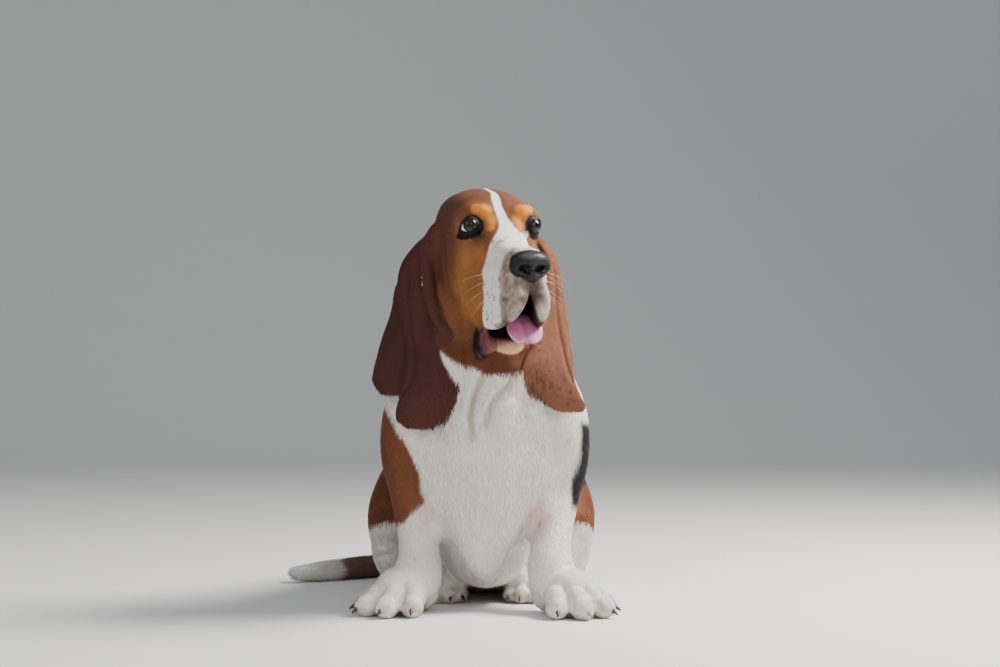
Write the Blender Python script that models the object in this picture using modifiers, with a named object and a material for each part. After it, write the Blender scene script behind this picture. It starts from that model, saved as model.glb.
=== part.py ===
"""A sitting basset hound at life size, as a still model parted into head, neck, torso, legs, ears and so on.

The dog faces -Y with its left side towards +X and its paws on the floor at z = 0. Masses of the body are
balls and lofts, fused by a voxel remesh, smoothed, thinned and parted by thin cuts. Lengths are metres.
"""
import math

import bmesh
import bpy
from mathutils import Matrix, Vector

# Overall
GAP = 0.0003                    # between neighbouring pieces
VOXEL = 0.0024                  # fineness of the fused body before it is thinned
EAR_VOXEL = 0.0018
BODY_TRIANGLES = 5200           # of the thinned body, before it is parted
EAR_TRIANGLES = 760
EAR_ROOM = 0.0019               # between an ear and the head it lies on
EYE_SEGMENTS = 20
NOSE_VOXEL = 0.0012
NOSE_TRIANGLES = 420
TONGUE_VOXEL = 0.0014
TONGUE_TRIANGLES = 320
NOSE_ROOM = 0.0008
TONGUE_ROOM = 0.0010
FRAME_SHIFT = Vector((0.064, -0.202, 0.0))   # puts the middle of the floor patch at the origin
FLOOR_DEPTH = 0.05
RIGHT, LEFT = -1, 1             # the dog's own sides
SIDE_NAMES = {RIGHT: "right", LEFT: "left"}

# Head: its own axes are forward, left and up from a pivot inside the skull
HEAD_PIVOT = Vector((0.002, 0.015, 0.474))
HEAD_YAW = math.radians(24.5)   # towards the dog's left
HEAD_PITCH = math.radians(-7)   # nose a little down
HEAD_ROLL = math.radians(1.5)
EYE_RADIUS = 0.0122
LID_THICKNESS = 0.0042
EYE_AT = (0.0440, 0.0440, 0.0345)
EYE_TURN = 30                   # degrees that each eye looks out to its side
NOSTRIL_AT = (0.1455, 0.0125, -0.0130)
NOSTRIL_SIZE = (0.0080, 0.0050, 0.0046)

# Legs
WRIST = (0.086, 0.012, 0.060)
ELBOW = (0.093, 0.058, 0.145)
TOE_ANGLES = (2, 26, 50, 76)    # degrees outwards from straight ahead
TOE_REACH = (0.070, 0.086, 0.086, 0.070)
TOE_SIZE = 0.0180
HIND_PAW = (0.050, 0.140, 0.026)
HIND_TOE_ANGLES = (-24, -6, 12, 30)
HIND_TOE_REACH = (0.047, 0.056, 0.055, 0.045)
HIND_TOE_SIZE = 0.0150

# Where the middle of each loose piece lies after parting, before the frame is centred
ANCHORS = {
    "head": (0.02, -0.03, 0.45),
    "neck": (0.0, 0.05, 0.31),
    "torso": (0.0, 0.22, 0.17),
    "foreleg_right": (-0.10, 0.0, 0.06),
    "foreleg_left": (0.10, 0.0, 0.06),
    "hindleg_right": (-0.13, 0.27, 0.08),
    "hindleg_left": (0.12, 0.27, 0.08),
    "tail": (-0.17, 0.44, 0.02),
}
FINISHES = {"head": "tan"}
CRUMB = 40                      # loose pieces with fewer corners are dropped

COLOURS = {
    "tan": ((0.42, 0.17, 0.06, 1), 0.75),
    "brown": ((0.20, 0.075, 0.045, 1), 0.75),
    "white": ((0.82, 0.79, 0.75, 1), 0.8),
    "black": ((0.03, 0.027, 0.027, 1), 0.7),
    "nose": ((0.025, 0.025, 0.03, 1), 0.35),
    "eye": ((0.07, 0.03, 0.015, 1), 0.08),
    "tongue": ((0.75, 0.28, 0.36, 1), 0.3),
}


def clear_scene():
    for obj in list(bpy.data.objects):
        bpy.data.objects.remove(obj, do_unlink=True)


def material(name):
    """The named finish, made once."""
    if name in bpy.data.materials:
        return bpy.data.materials[name]
    made = bpy.data.materials.new(name)
    made.use_nodes = True
    shader = made.node_tree.nodes["Principled BSDF"]
    colour, roughness = COLOURS[name]
    shader.inputs["Base Color"].default_value = colour
    shader.inputs["Roughness"].default_value = roughness
    shader.inputs["Metallic"].default_value = 0.0
    return made


def collection(name):
    if name not in bpy.data.collections:
        bpy.context.scene.collection.children.link(bpy.data.collections.new(name))
    return bpy.data.collections[name]


def head_matrix():
    """Head axes (forward, left, up) to the dog's own space."""
    ahead = Vector((math.sin(HEAD_YAW), -math.cos(HEAD_YAW), 0))
    left = Vector((math.cos(HEAD_YAW), math.sin(HEAD_YAW), 0))
    up = Vector((0, 0, 1))
    tilt = Matrix.Rotation(HEAD_ROLL, 3, ahead) @ Matrix.Rotation(-HEAD_PITCH, 3, left)
    axes = Matrix((tilt @ ahead, tilt @ left, tilt @ up)).transposed()
    return Matrix.Translation(HEAD_PIVOT) @ axes.to_4x4()


HEAD = head_matrix()
WORLD = Matrix.Identity(4)


def turned(degrees, axis):
    return Matrix.Rotation(math.radians(degrees), 4, axis)


def ball(clay, centre, radii, place=WORLD, turn=WORLD, segments=28):
    """Adds an ellipsoid to the clay."""
    where = place @ Matrix.Translation(Vector(centre)) @ turn @ Matrix.Diagonal((*radii, 1))
    rings = []
    rows = segments // 2
    for row in range(rows + 1):
        angle = math.pi * min(max(row / rows, 0.02), 0.98)
        centre_of_ring = Vector((0, 0, -math.cos(angle)))
        width = math.sin(angle)
        rings.append(oval(centre_of_ring, Vector((width, 0, 0)), Vector((0, width, 0)), count=segments))
    skin_rings(clay, rings, where)


def spline(values, steps):
    """Catmull-Rom points through a list of equal-length tuples."""
    points = [Vector(v) for v in values]
    points = [2 * points[0] - points[1], *points, 2 * points[-1] - points[-2]]
    smooth = []
    for a, b, c, d in zip(points, points[1:], points[2:], points[3:]):
        for step in range(steps):
            t = step / steps
            smooth.append(0.5 * (2 * b + (c - a) * t + (2 * a - 5 * b + 4 * c - d) * t**2
                                 + (3 * b - a - 3 * c + d) * t**3))
    return [*smooth, points[-2]]


def skin_rings(clay, rings, place=WORLD):
    """Joins rings of points, all of one length, into a closed tube."""
    rows = [[clay.verts.new(place @ p) for p in ring] for ring in rings]
    count = len(rows[0])
    for low, high in zip(rows, rows[1:]):
        for i in range(count):
            j = (i + 1) % count
            clay.faces.new((low[i], low[j], high[j], high[i]))
    clay.faces.new(list(reversed(rows[0])))
    clay.faces.new(rows[-1])


def oval(centre, side, up, drop=1.0, square=2.0, count=28):
    """A ring round centre; square above 2 fills its corners, and drop scales its lower half."""
    ring = []
    for i in range(count):
        angle = 2 * math.pi * i / count
        across, rise = math.cos(angle), math.sin(angle)
        across = math.copysign(abs(across) ** (2 / square), across)
        rise = math.copysign(abs(rise) ** (2 / square), rise)
        ring.append(centre + side * across + up * rise * (1 if rise > 0 else drop))
    return ring


def midline_loft(clay, slices, steps=4, square=2.2):
    """A loft astride the midline. Each slice is (top y, top z, bottom y, bottom z, half width)."""
    rings = []
    for s in spline(slices, steps):
        # vectors of five numbers carry the slice
        top, bottom, width = Vector((0, s[0], s[1])), Vector((0, s[2], s[3])), s[4]
        rings.append(oval((top + bottom) / 2, Vector((width, 0, 0)), (top - bottom) / 2, square=square))
    skin_rings(clay, rings)


def limb(clay, stations, place=WORLD, steps=5, square=2.0, side_hint=(1, 0, 0)):
    """A bent tube. Each station is (x, y, z, half width, half depth)."""
    line = spline(stations, steps)
    rings = []
    for i, s in enumerate(line):
        before, after = line[max(i - 1, 0)], line[min(i + 1, len(line) - 1)]
        along = Vector(after[:3]) - Vector(before[:3])
        along.normalize()
        side = Vector(side_hint)
        side = (side - along * side.dot(along)).normalized()
        deep = along.cross(side)
        rings.append(oval(Vector(s[:3]), side * s[3], deep * s[4], square=square))
    skin_rings(clay, rings, place)
    first, last = stations[0], stations[-1]
    for end in (first, last):
        ball(clay, end[:3], [min(end[3], end[4])] * 3, place)


def torso_and_neck(clay):
    midline_loft(clay, (
        (0.020, 0.345, -0.022, 0.205, 0.060),
        (0.055, 0.380, -0.018, 0.140, 0.104),
        (0.110, 0.392, 0.020, 0.090, 0.120),
        (0.185, 0.362, 0.085, 0.060, 0.125),
        (0.262, 0.312, 0.170, 0.044, 0.128),
        (0.338, 0.255, 0.255, 0.032, 0.124),
        (0.405, 0.192, 0.335, 0.016, 0.118),
        (0.458, 0.128, 0.400, -0.004, 0.104),
        (0.482, 0.078, 0.445, -0.006, 0.070),
    ), square=2.3)
    midline_loft(clay, (
        (0.150, 0.340, 0.020, 0.215, 0.100),
        (0.122, 0.398, -0.026, 0.270, 0.098),
        (0.098, 0.440, -0.036, 0.318, 0.084),
        (0.078, 0.482, -0.030, 0.366, 0.075),
        (0.062, 0.512, -0.010, 0.420, 0.068),
    ))
    # Breastbone
    ball(clay, (0, -0.004, 0.250), (0.060, 0.034, 0.070))
    # Loose skin that hangs to a point between the forelegs
    limb(clay, (
        (0.000, 0.014, 0.200, 0.074, 0.044),
        (0.000, 0.010, 0.140, 0.060, 0.040),
        (0.001, 0.014, 0.095, 0.044, 0.036),
        (0.002, 0.022, 0.062, 0.028, 0.028),
        (0.003, 0.030, 0.046, 0.014, 0.018),
    ))
    ball(clay, (0, 0.105, 0.072), (0.060, 0.085, 0.052))
    ball(clay, (0, 0.280, 0.056), (0.105, 0.130, 0.062))


def toes(clay, heel, angles, reaches, side, thick):
    """Four toes that fan from the heel, each a high knuckle and a lower tip."""
    for angle, reach in zip(angles, reaches):
        way = Vector((side * math.sin(math.radians(angle)), -math.cos(math.radians(angle)), 0))
        out = turned(side * angle, "Z")
        start = Vector((heel[0], heel[1], 0))
        knuckle = start + way * (reach * 0.66) + Vector((0, 0, thick * 1.26))
        tip = start + way * (reach * 0.92) + Vector((0, 0, thick * 0.74))
        ball(clay, knuckle, (thick * 0.94, thick * 1.30, thick * 1.05), turn=out, segments=20)
        ball(clay, tip, (thick * 0.86, thick * 1.05, thick * 0.86), turn=out, segments=20)
        root = start + way * (reach * 0.36) + Vector((0, 0, thick * 1.5))
        ball(clay, root, (thick * 1.0, thick * 1.5, thick * 1.15), turn=out, segments=20)


def foreleg(clay, side):
    x = side
    reach = -0.012 if side == LEFT else 0.006
    # Shoulder blade, upper arm and elbow
    limb(clay, (
        (x * 0.070, 0.105, 0.330, 0.030, 0.050),
        (x * 0.096, 0.062, 0.262, 0.040, 0.060),
        (x * 0.104, 0.050, 0.205, 0.037, 0.050),
        (x * ELBOW[0], ELBOW[1], ELBOW[2] + 0.012, 0.036, 0.042),
    ))
    limb(clay, (
        (x * ELBOW[0], ELBOW[1] - 0.004, ELBOW[2], 0.0340, 0.042),
        (x * 0.0890, 0.038 + reach * 0.4, 0.112, 0.0300, 0.036),
        (x * 0.0860, 0.022 + reach * 0.8, 0.080, 0.0280, 0.031),
        (x * WRIST[0], WRIST[1] + reach, WRIST[2], 0.0310, 0.032),
        (x * 0.0905, 0.004 + reach, 0.040, 0.0340, 0.033),
    ))
    # Paw
    heel = (x * 0.090, 0.008 + reach, 0)
    ball(clay, (x * 0.104, -0.008 + reach, 0.034), (0.033, 0.046, 0.029), turn=turned(x * 42, "Z"))
    ball(clay, (x * 0.086, 0.010 + reach, 0.024), (0.026, 0.026, 0.024))
    toes(clay, heel, TOE_ANGLES, TOE_REACH, side, TOE_SIZE)


def hind_leg(clay, side):
    x = side
    # The haunches lie a little to the right of the chest
    sway = Matrix.Translation((-0.007, 0, 0))
    # Thigh from the hip to the stifle, then the shin back down to the hock
    limb(clay, (
        (x * 0.062, 0.400, 0.140, 0.050, 0.062),
        (x * 0.100, 0.348, 0.130, 0.052, 0.082),
        (x * 0.126, 0.285, 0.108, 0.040, 0.066),
        (x * 0.132, 0.238, 0.098, 0.032, 0.044),
    ), sway)
    ball(clay, (x * 0.126, 0.315, 0.070), (0.038, 0.085, 0.066), sway)
    limb(clay, (
        (x * 0.134, 0.245, 0.090, 0.030, 0.036),
        (x * 0.132, 0.300, 0.052, 0.026, 0.032),
        (x * 0.116, 0.340, 0.026, 0.022, 0.026),
    ), sway)
    # Metatarsus along the floor to the paw
    limb(clay, (
        (x * 0.114, 0.338, 0.018, 0.022, 0.022),
        (x * 0.088, 0.262, 0.020, 0.022, 0.021),
        (x * 0.062, 0.186, 0.024, 0.026, 0.022),
    ))
    heel = (x * (HIND_PAW[0] + 0.004), HIND_PAW[1] + 0.012, 0)
    ball(clay, (x * HIND_PAW[0], HIND_PAW[1], HIND_PAW[2]), (0.029, 0.040, 0.024))
    toes(clay, heel, HIND_TOE_ANGLES, HIND_TOE_REACH, side, HIND_TOE_SIZE)


def tail(clay):
    limb(clay, (
        (0.004, 0.448, 0.060, 0.036, 0.034),
        (-0.020, 0.492, 0.036, 0.028, 0.026),
        (-0.082, 0.498, 0.022, 0.021, 0.021),
        (-0.165, 0.445, 0.017, 0.018, 0.018),
        (-0.240, 0.385, 0.015, 0.016, 0.016),
        (-0.282, 0.358, 0.014, 0.011, 0.012),
    ), side_hint=(0, 0, 1))


def head_loft(clay, sections, steps=4):
    """A loft along the head. Each section is (forward, top, upper, middle and lower half widths, bottom)."""
    rings = []
    for forward, top, upper, middle, lower, bottom in spline(sections, steps):
        tall = top - bottom
        half = ((0.0, top), (upper * 0.72, top - tall * 0.07), (upper, top - tall * 0.27),
                (middle, top - tall * 0.55), (lower, top - tall * 0.83), (lower * 0.6, bottom), (0.0, bottom))
        other = [(-side, up) for side, up in reversed(half[1:-1])]
        corners = [Vector((forward, side, up)) for side, up in (*half, *other)]
        rings.append(closed_spline(corners, 4))
    skin_rings(clay, rings, HEAD)


def closed_spline(points, steps):
    count = len(points)
    smooth = []
    for i in range(count):
        a, b, c, d = (points[(i + k) % count] for k in (-1, 0, 1, 2))
        for step in range(steps):
            t = step / steps
            smooth.append(0.5 * (2 * b + (c - a) * t + (2 * a - 5 * b + 4 * c - d) * t**2
                                 + (3 * b - a - 3 * c + d) * t**3))
    return smooth


def skull(clay):
    """Skull and muzzle, brows, cheeks, flews, lower jaw and throat, in head axes."""
    head_loft(clay, (
        (-0.104, 0.050, 0.012, 0.016, 0.012, 0.010),
        (-0.088, 0.062, 0.034, 0.040, 0.040, -0.030),
        (-0.055, 0.076, 0.052, 0.058, 0.054, -0.080),
        (-0.020, 0.082, 0.060, 0.063, 0.058, -0.108),
        (0.012, 0.081, 0.060, 0.061, 0.050, -0.110),
        (0.036, 0.073, 0.056, 0.056, 0.045, -0.098),
        (0.054, 0.050, 0.043, 0.047, 0.041, -0.070),
        (0.068, 0.028, 0.031, 0.039, 0.037, -0.056),
        (0.090, 0.017, 0.027, 0.035, 0.034, -0.050),
        (0.114, 0.013, 0.0255, 0.031, 0.030, -0.046),
        (0.132, 0.011, 0.023, 0.026, 0.025, -0.042),
        (0.141, 0.004, 0.015, 0.017, 0.015, -0.034),
    ))
    for side in (RIGHT, LEFT):
        # Brow, and the mass round the eye below it
        ball(clay, (0.036, side * 0.030, 0.052), (0.019, 0.024, 0.014), HEAD, turned(side * 25, "Z"))
        ball(clay, (0.033, side * 0.040, 0.036), (0.025, 0.023, 0.024), HEAD)
        # Flews: a deep lip that is squarest at its front and slack at its corner
        limb(clay, (
            (0.134, side * 0.011, -0.034, 0.012, 0.022),
            (0.122, side * 0.020, -0.048, 0.0115, 0.034),
            (0.100, side * 0.028, -0.054, 0.0110, 0.041),
            (0.074, side * 0.033, -0.054, 0.0115, 0.042),
            (0.044, side * 0.037, -0.050, 0.0130, 0.043),
            (0.012, side * 0.038, -0.044, 0.0150, 0.044),
        ), HEAD, side_hint=(0, 1, 0), square=2.5)
        # Root of the ear
        ball(clay, (-0.034, side * 0.056, 0.002), (0.026, 0.016, 0.034), HEAD)
        lids = EYE_RADIUS + LID_THICKNESS
        ball(clay, (EYE_AT[0], side * EYE_AT[1], EYE_AT[2]), (lids, lids, lids), HEAD)
    # Slack lower lip at each corner of the mouth, looser on the right
    ball(clay, (0.060, -0.033, -0.115), (0.019, 0.0105, 0.0235), HEAD, turned(-10, "Y"))
    ball(clay, (0.052, 0.027, -0.106), (0.015, 0.0085, 0.019), HEAD, turned(-10, "Y"))
    # Lower jaw and throat
    limb(clay, (
        (-0.040, 0, -0.070, 0.040, 0.034),
        (0.010, 0, -0.094, 0.032, 0.024),
        (0.052, 0, -0.112, 0.026, 0.016),
        (0.092, 0, -0.1175, 0.0185, 0.0115),
    ), HEAD, side_hint=(0, 1, 0))
    ball(clay, (-0.035, 0, -0.086), (0.050, 0.046, 0.040), HEAD)


def lobe(clay, stations):
    """One hanging fold of an ear: stations (x, y, z, half width, half thickness, plan angle in degrees)."""
    rings = []
    for s in spline(stations, 6):
        angle = math.radians(s[5])
        across = Vector((math.cos(angle), math.sin(angle), 0))
        through = Vector((-math.sin(angle), math.cos(angle), 0))
        rings.append(oval(Vector(s[:3]), across * s[3], through * s[4], square=2.6))
    skin_rings(clay, rings)


def right_ear():
    """The main lobe, the rear fold behind it and the roll of its front edge."""
    clay = bmesh.new()
    lobe(clay, (
        (-0.078, 0.036, 0.494, 0.009, 0.0054, -46),
        (-0.088, 0.034, 0.480, 0.012, 0.0055, -40),
        (-0.099, 0.028, 0.456, 0.017, 0.0050, -30),
        (-0.099, 0.019, 0.422, 0.021, 0.0040, -25),
        (-0.086, 0.009, 0.389, 0.028, 0.0036, -20),
        (-0.069, -0.006, 0.356, 0.036, 0.0034, -12),
        (-0.068, -0.016, 0.317, 0.038, 0.0032, -6),
        (-0.077, -0.020, 0.278, 0.0395, 0.0032, -4),
        (-0.085, -0.020, 0.252, 0.034, 0.0032, -4),
        (-0.084, -0.020, 0.237, 0.018, 0.0026, -4),
    ))
    lobe(clay, (
        (-0.106, 0.034, 0.450, 0.010, 0.0036, -55),
        (-0.113, 0.034, 0.429, 0.015, 0.0036, -55),
        (-0.114, 0.032, 0.396, 0.020, 0.0034, -50),
        (-0.117, 0.026, 0.363, 0.029, 0.0034, -42),
        (-0.119, 0.014, 0.330, 0.035, 0.0034, -36),
        (-0.1235, 0.008, 0.301, 0.034, 0.0034, -34),
        (-0.121, 0.006, 0.281, 0.020, 0.0028, -34),
    ))
    limb(clay, (
        (-0.073, 0.022, 0.491, 0.0070, 0.0068),
        (-0.077, 0.018, 0.484, 0.0085, 0.0080),
        (-0.0775, 0.012, 0.464, 0.0095, 0.0080),
        (-0.0755, 0.003, 0.434, 0.0098, 0.0080),
        (-0.0715, -0.006, 0.408, 0.0090, 0.0075),
        (-0.062, -0.013, 0.382, 0.0075, 0.0060),
        (-0.050, -0.017, 0.359, 0.0050, 0.0045),
    ))
    return object_of(clay, "ear_right", "brown")


def left_ear():
    """The main lobe, turned to show its inner face, and the outer strip behind its fold."""
    clay = bmesh.new()
    lobe(clay, (
        (0.066, 0.065, 0.495, 0.0100, 0.0064, 60),
        (0.078, 0.062, 0.484, 0.0130, 0.0070, 58),
        (0.088, 0.058, 0.462, 0.0150, 0.0068, 55),
        (0.091, 0.048, 0.430, 0.0180, 0.0056, 48),
        (0.0915, 0.030, 0.389, 0.0245, 0.0042, 38),
        (0.0885, 0.012, 0.356, 0.0300, 0.0036, 28),
        (0.084, -0.008, 0.323, 0.0350, 0.0034, 20),
        (0.0915, -0.014, 0.290, 0.0350, 0.0032, 10),
        (0.106, -0.014, 0.270, 0.0300, 0.0032, 4),
        (0.114, -0.014, 0.258, 0.0160, 0.0026, 0),
    ))
    lobe(clay, (
        (0.094, 0.060, 0.450, 0.0080, 0.0045, 70),
        (0.100, 0.054, 0.424, 0.0095, 0.0040, 70),
        (0.1035, 0.044, 0.390, 0.0125, 0.0036, 66),
        (0.108, 0.032, 0.357, 0.0140, 0.0034, 60),
        (0.1105, 0.020, 0.327, 0.0140, 0.0034, 50),
        (0.114, 0.010, 0.303, 0.0080, 0.0028, 45),
    ))
    return object_of(clay, "ear_left", "brown")


def object_of(clay, name, finish, home="basset"):
    mesh = bpy.data.meshes.new(name)
    clay.to_mesh(mesh)
    clay.free()
    mesh.materials.append(material(finish))
    obj = bpy.data.objects.new(name, mesh)
    collection(home).objects.link(obj)
    return obj


def bake_modifiers(obj):
    """Makes the evaluated mesh the object's own."""
    graph = bpy.context.evaluated_depsgraph_get()
    mesh = bpy.data.meshes.new_from_object(obj.evaluated_get(graph))
    old = obj.data
    obj.modifiers.clear()
    obj.data = mesh
    bpy.data.meshes.remove(old)


def near(place, centre, inner, outer):
    """1 within the inner distance of the centre, 0 beyond the outer one."""
    away = (place - Vector(centre)).length
    return min(max((outer - away) / (outer - inner), 0.0), 1.0)


def softness(place):
    """How far the surface is smoothed here: 1 on the trunk, less on the head, least on paws and tail."""
    small = max(near(place, (side * x, y, 0.02), 0.070, 0.100)
                for side in (RIGHT, LEFT) for x, y in ((0.11, -0.03), (0.06, 0.13)))
    small = max(small, min(max((-0.10 - place.x) / 0.05, 0.0), 1.0) if place.z < 0.06 else 0.0)
    head = near(place, HEAD @ Vector((0.045, 0, -0.02)), 0.115, 0.150)
    return 1.0 - max(small, head), 1.0 - small


def fuse(obj, voxel):
    remesh = obj.modifiers.new("fuse", "REMESH")
    remesh.mode = "VOXEL"
    remesh.voxel_size = voxel
    bake_modifiers(obj)


def soften(obj, iterations, group=""):
    smooth = obj.modifiers.new("soften", "SMOOTH")
    smooth.iterations = iterations
    smooth.vertex_group = group
    bake_modifiers(obj)


def group_by_place(obj, names, rule):
    groups = [obj.vertex_groups.new(name=name) for name in names]
    for vert in obj.data.vertices:
        for group, weight in zip(groups, rule(vert.co)):
            group.add([vert.index], weight, "REPLACE")


def thin(obj, triangles):
    """Collapses a remeshed object to about this many triangles."""
    count = sum(len(face.vertices) - 2 for face in obj.data.polygons)
    collapse = obj.modifiers.new("thin", "DECIMATE")
    collapse.ratio = min(1.0, triangles / count)
    collapse.use_collapse_triangulate = True
    bake_modifiers(obj)


def cut(obj, cutter, operation="DIFFERENCE"):
    """Applies one Boolean with the exact solver and removes its cutter."""
    cutter.hide_render = True
    cutter.display_type = "WIRE"
    boolean = obj.modifiers.new("cut", "BOOLEAN")
    boolean.operation = operation
    boolean.solver = "EXACT"
    boolean.object = cutter
    bake_modifiers(obj)
    bpy.data.objects.remove(cutter, do_unlink=True)


def cutter_ball(centre, radii, place=WORLD, turn=WORLD, segments=24):
    clay = bmesh.new()
    ball(clay, centre, radii, place, turn, segments)
    return object_of(clay, "cutter", "black", "cutters")


def cutter_box(low, high, turn=WORLD, pivot=(0, 0, 0)):
    """A box between two corners, measured from a pivot that it turns about."""
    low, high = Vector(low), Vector(high)
    clay = bmesh.new()
    where = Matrix.Translation(Vector(pivot)) @ turn @ Matrix.Translation((low + high) / 2)
    bmesh.ops.create_cube(clay, size=1, matrix=where @ Matrix.Diagonal((*(high - low), 1)))
    return object_of(clay, "cutter", "black", "cutters")


def cutter_hull(corners):
    clay = bmesh.new()
    for corner in corners:
        clay.verts.new(corner)
    bmesh.ops.convex_hull(clay, input=clay.verts[:])
    loose = [v for v in clay.verts if not v.link_faces]
    bmesh.ops.delete(clay, geom=loose, context="VERTS")
    return object_of(clay, "cutter", "black", "cutters")


def shell_of(cutter):
    """Turns a solid cutter into a closed wall as thick as the gap."""
    wall = cutter.modifiers.new("wall", "SOLIDIFY")
    wall.thickness = GAP
    wall.offset = 0
    wall.use_even_offset = True
    bake_modifiers(cutter)
    return cutter


def swollen_copy(obj, amount):
    """A cutter a little larger all round than the object."""
    clay = bmesh.new()
    clay.from_mesh(obj.data)
    clay.normal_update()
    for spot, normal in [(v, v.normal.copy()) for v in clay.verts]:
        spot.co += normal * amount
    return object_of(clay, "cutter", "black", "cutters")


def foreleg_cutter(side):
    """Takes in the forearm from the armpit down, clear of the hind paw behind it."""
    edge = ((0.054, 0.052, -0.02), (0.054, 0.090, 0.10), (0.072, 0.104, 0.140),
            (0.110, 0.120, 0.176), (0.300, 0.120, 0.200), (0.300, 0.052, -0.02))
    corners = [(side * x, y, z) for x, y_back, z in edge for y in (-0.25, y_back)]
    return shell_of(cutter_hull(corners))


def hind_leg_cutter(side):
    """Takes in the thigh beside the belly and the foot below it."""
    thigh = ((0.075, 0.10), (0.094, 0.17), (0.090, 0.215), (0.110, 0.26), (0.30, 0.26), (0.30, -0.02), (0.075, -0.02))
    foot = ((0.012, 0.034), (0.020, 0.046), (0.30, 0.046), (0.30, -0.02), (0.012, -0.02))
    both = cutter_hull([(side * min(x, 0.2 if y < 0.3 else 0.181), y, z) for x, z in thigh for y in (0.13, 0.415)])
    lower = cutter_hull([(side * min(x, 0.185), y, z) for x, z in foot for y in (0.062, 0.385)])
    cut(both, lower, "UNION")
    return shell_of(both)


def part_flesh(flesh):
    """Flats on the floor, then thin cuts between head, neck, trunk, legs and tail."""
    cut(flesh, cutter_box((-0.6, -0.4, -FLOOR_DEPTH), (0.4, 0.8, 0)))
    cut(flesh, shell_of(cutter_ball((0.012, -0.020, 0.470), (0.156, 0.156, 0.156), segments=40)))
    base = turned(42, "X")
    cut(flesh, cutter_box((-0.2, -0.13, 0), (0.2, 0.16, GAP), base, (0, 0.040, 0.300)))
    for side in (RIGHT, LEFT):
        cut(flesh, foreleg_cutter(side))
        cut(flesh, hind_leg_cutter(side))
    cut(flesh, cutter_box((-0.0652, 0.466, 0.0), (-0.0652 + GAP, 0.534, 0.07)))


def pieces_of(obj, finishes):
    """Splits the parted flesh into its loose pieces and names each after the nearest anchor."""
    whole = bmesh.new()
    whole.from_mesh(obj.data)
    whole.verts.ensure_lookup_table()
    unseen = set(whole.verts)
    while unseen:
        frontier = [unseen.pop()]
        island = set(frontier)
        while frontier:
            for link in frontier.pop().link_edges:
                for vert in link.verts:
                    if vert in unseen:
                        unseen.discard(vert)
                        island.add(vert)
                        frontier.append(vert)
        if len(island) < CRUMB:
            continue
        middle = sum((v.co for v in island), Vector((0, 0, 0))) / len(island)
        name = min(ANCHORS, key=lambda n: (Vector(ANCHORS[n]) - middle).length)
        keep = {v.index for v in island}
        piece = bmesh.new()
        piece.from_mesh(obj.data)
        gone = [v for v in piece.verts if v.index not in keep]
        bmesh.ops.delete(piece, geom=gone, context="VERTS")
        bmesh.ops.triangulate(piece, faces=piece.faces[:])
        object_of(piece, name, finishes.get(name, "white"))
    whole.free()
    bpy.data.objects.remove(obj, do_unlink=True)


def eye_place(side):
    """Axes of one eye: out of the socket, sideways and up."""
    centre = Matrix.Translation((EYE_AT[0], side * EYE_AT[1], EYE_AT[2]))
    return HEAD @ centre @ turned(side * EYE_TURN, "Z")


def eyes(flesh):
    """An eyeball behind an almond opening whose outer corner droops."""
    for side in (RIGHT, LEFT):
        place = eye_place(side)
        socket = EYE_RADIUS + GAP
        cut(flesh, cutter_ball((0, 0, 0), [socket] * 3, place, segments=EYE_SEGMENTS))
        slant = turned(side * -10, "X")
        cut(flesh, cutter_ball((EYE_RADIUS, 0, -0.0008), (0.0100, 0.0108, 0.0074), place, slant, 20))
        clay = bmesh.new()
        ball(clay, (0, 0, 0), [EYE_RADIUS] * 3, place, segments=EYE_SEGMENTS)
        object_of(clay, "eye_" + SIDE_NAMES[side], "eye")


def seat(flesh, obj, room, voxel, triangles):
    """Hollows the flesh where the object lies, with this much room round it."""
    mould = swollen_copy(obj, room)
    fuse(mould, voxel)
    thin(mould, triangles)
    cut(flesh, mould)


def nose(flesh):
    """Leather with two nostrils, let into the front of the muzzle."""
    clay = bmesh.new()
    ball(clay, (0.1335, 0, -0.0045), (0.0155, 0.0270, 0.0135), HEAD)
    ball(clay, (0.1345, 0, -0.0210), (0.0115, 0.0150, 0.0145), HEAD)
    for side in (RIGHT, LEFT):
        ball(clay, (0.1345, side * 0.0135, -0.0115), (0.0125, 0.0145, 0.0140), HEAD)
    leather = object_of(clay, "nose", "nose")
    fuse(leather, NOSE_VOXEL)
    soften(leather, 3)
    thin(leather, NOSE_TRIANGLES)
    seat(flesh, leather, NOSE_ROOM, NOSE_VOXEL, NOSE_TRIANGLES)
    for side in (RIGHT, LEFT):
        nostril = HEAD @ Matrix.Translation((NOSTRIL_AT[0], side * NOSTRIL_AT[1], NOSTRIL_AT[2]))
        cut(leather, cutter_ball((0, 0, 0), NOSTRIL_SIZE, nostril, turned(side * 35, "Z"), 14))


def tongue(flesh):
    """Lies on the lower jaw and hangs over the front lip."""
    clay = bmesh.new()
    limb(clay, (
        (0.036, 0.0030, -0.0880, 0.0150, 0.0050),
        (0.064, 0.0050, -0.0860, 0.0190, 0.0050),
        (0.086, 0.0070, -0.0820, 0.0220, 0.0048),
        (0.100, 0.0085, -0.0880, 0.0235, 0.0042),
        (0.1085, 0.0080, -0.0975, 0.0230, 0.0038),
        (0.113, 0.0065, -0.1070, 0.0200, 0.0035),
        (0.1145, 0.0050, -0.1130, 0.0140, 0.0032),
    ), HEAD, steps=3, square=2.3, side_hint=(0, 1, 0))
    made = object_of(clay, "tongue", "tongue")
    fuse(made, TONGUE_VOXEL)
    thin(made, TONGUE_TRIANGLES)
    seat(flesh, made, TONGUE_ROOM, TONGUE_VOXEL, TONGUE_TRIANGLES)


def ears(flesh):
    for ear in (right_ear(), left_ear()):
        fuse(ear, EAR_VOXEL)
        soften(ear, 3)
        thin(ear, EAR_TRIANGLES)
        seat(flesh, ear, EAR_ROOM, EAR_VOXEL, EAR_TRIANGLES)


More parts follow.
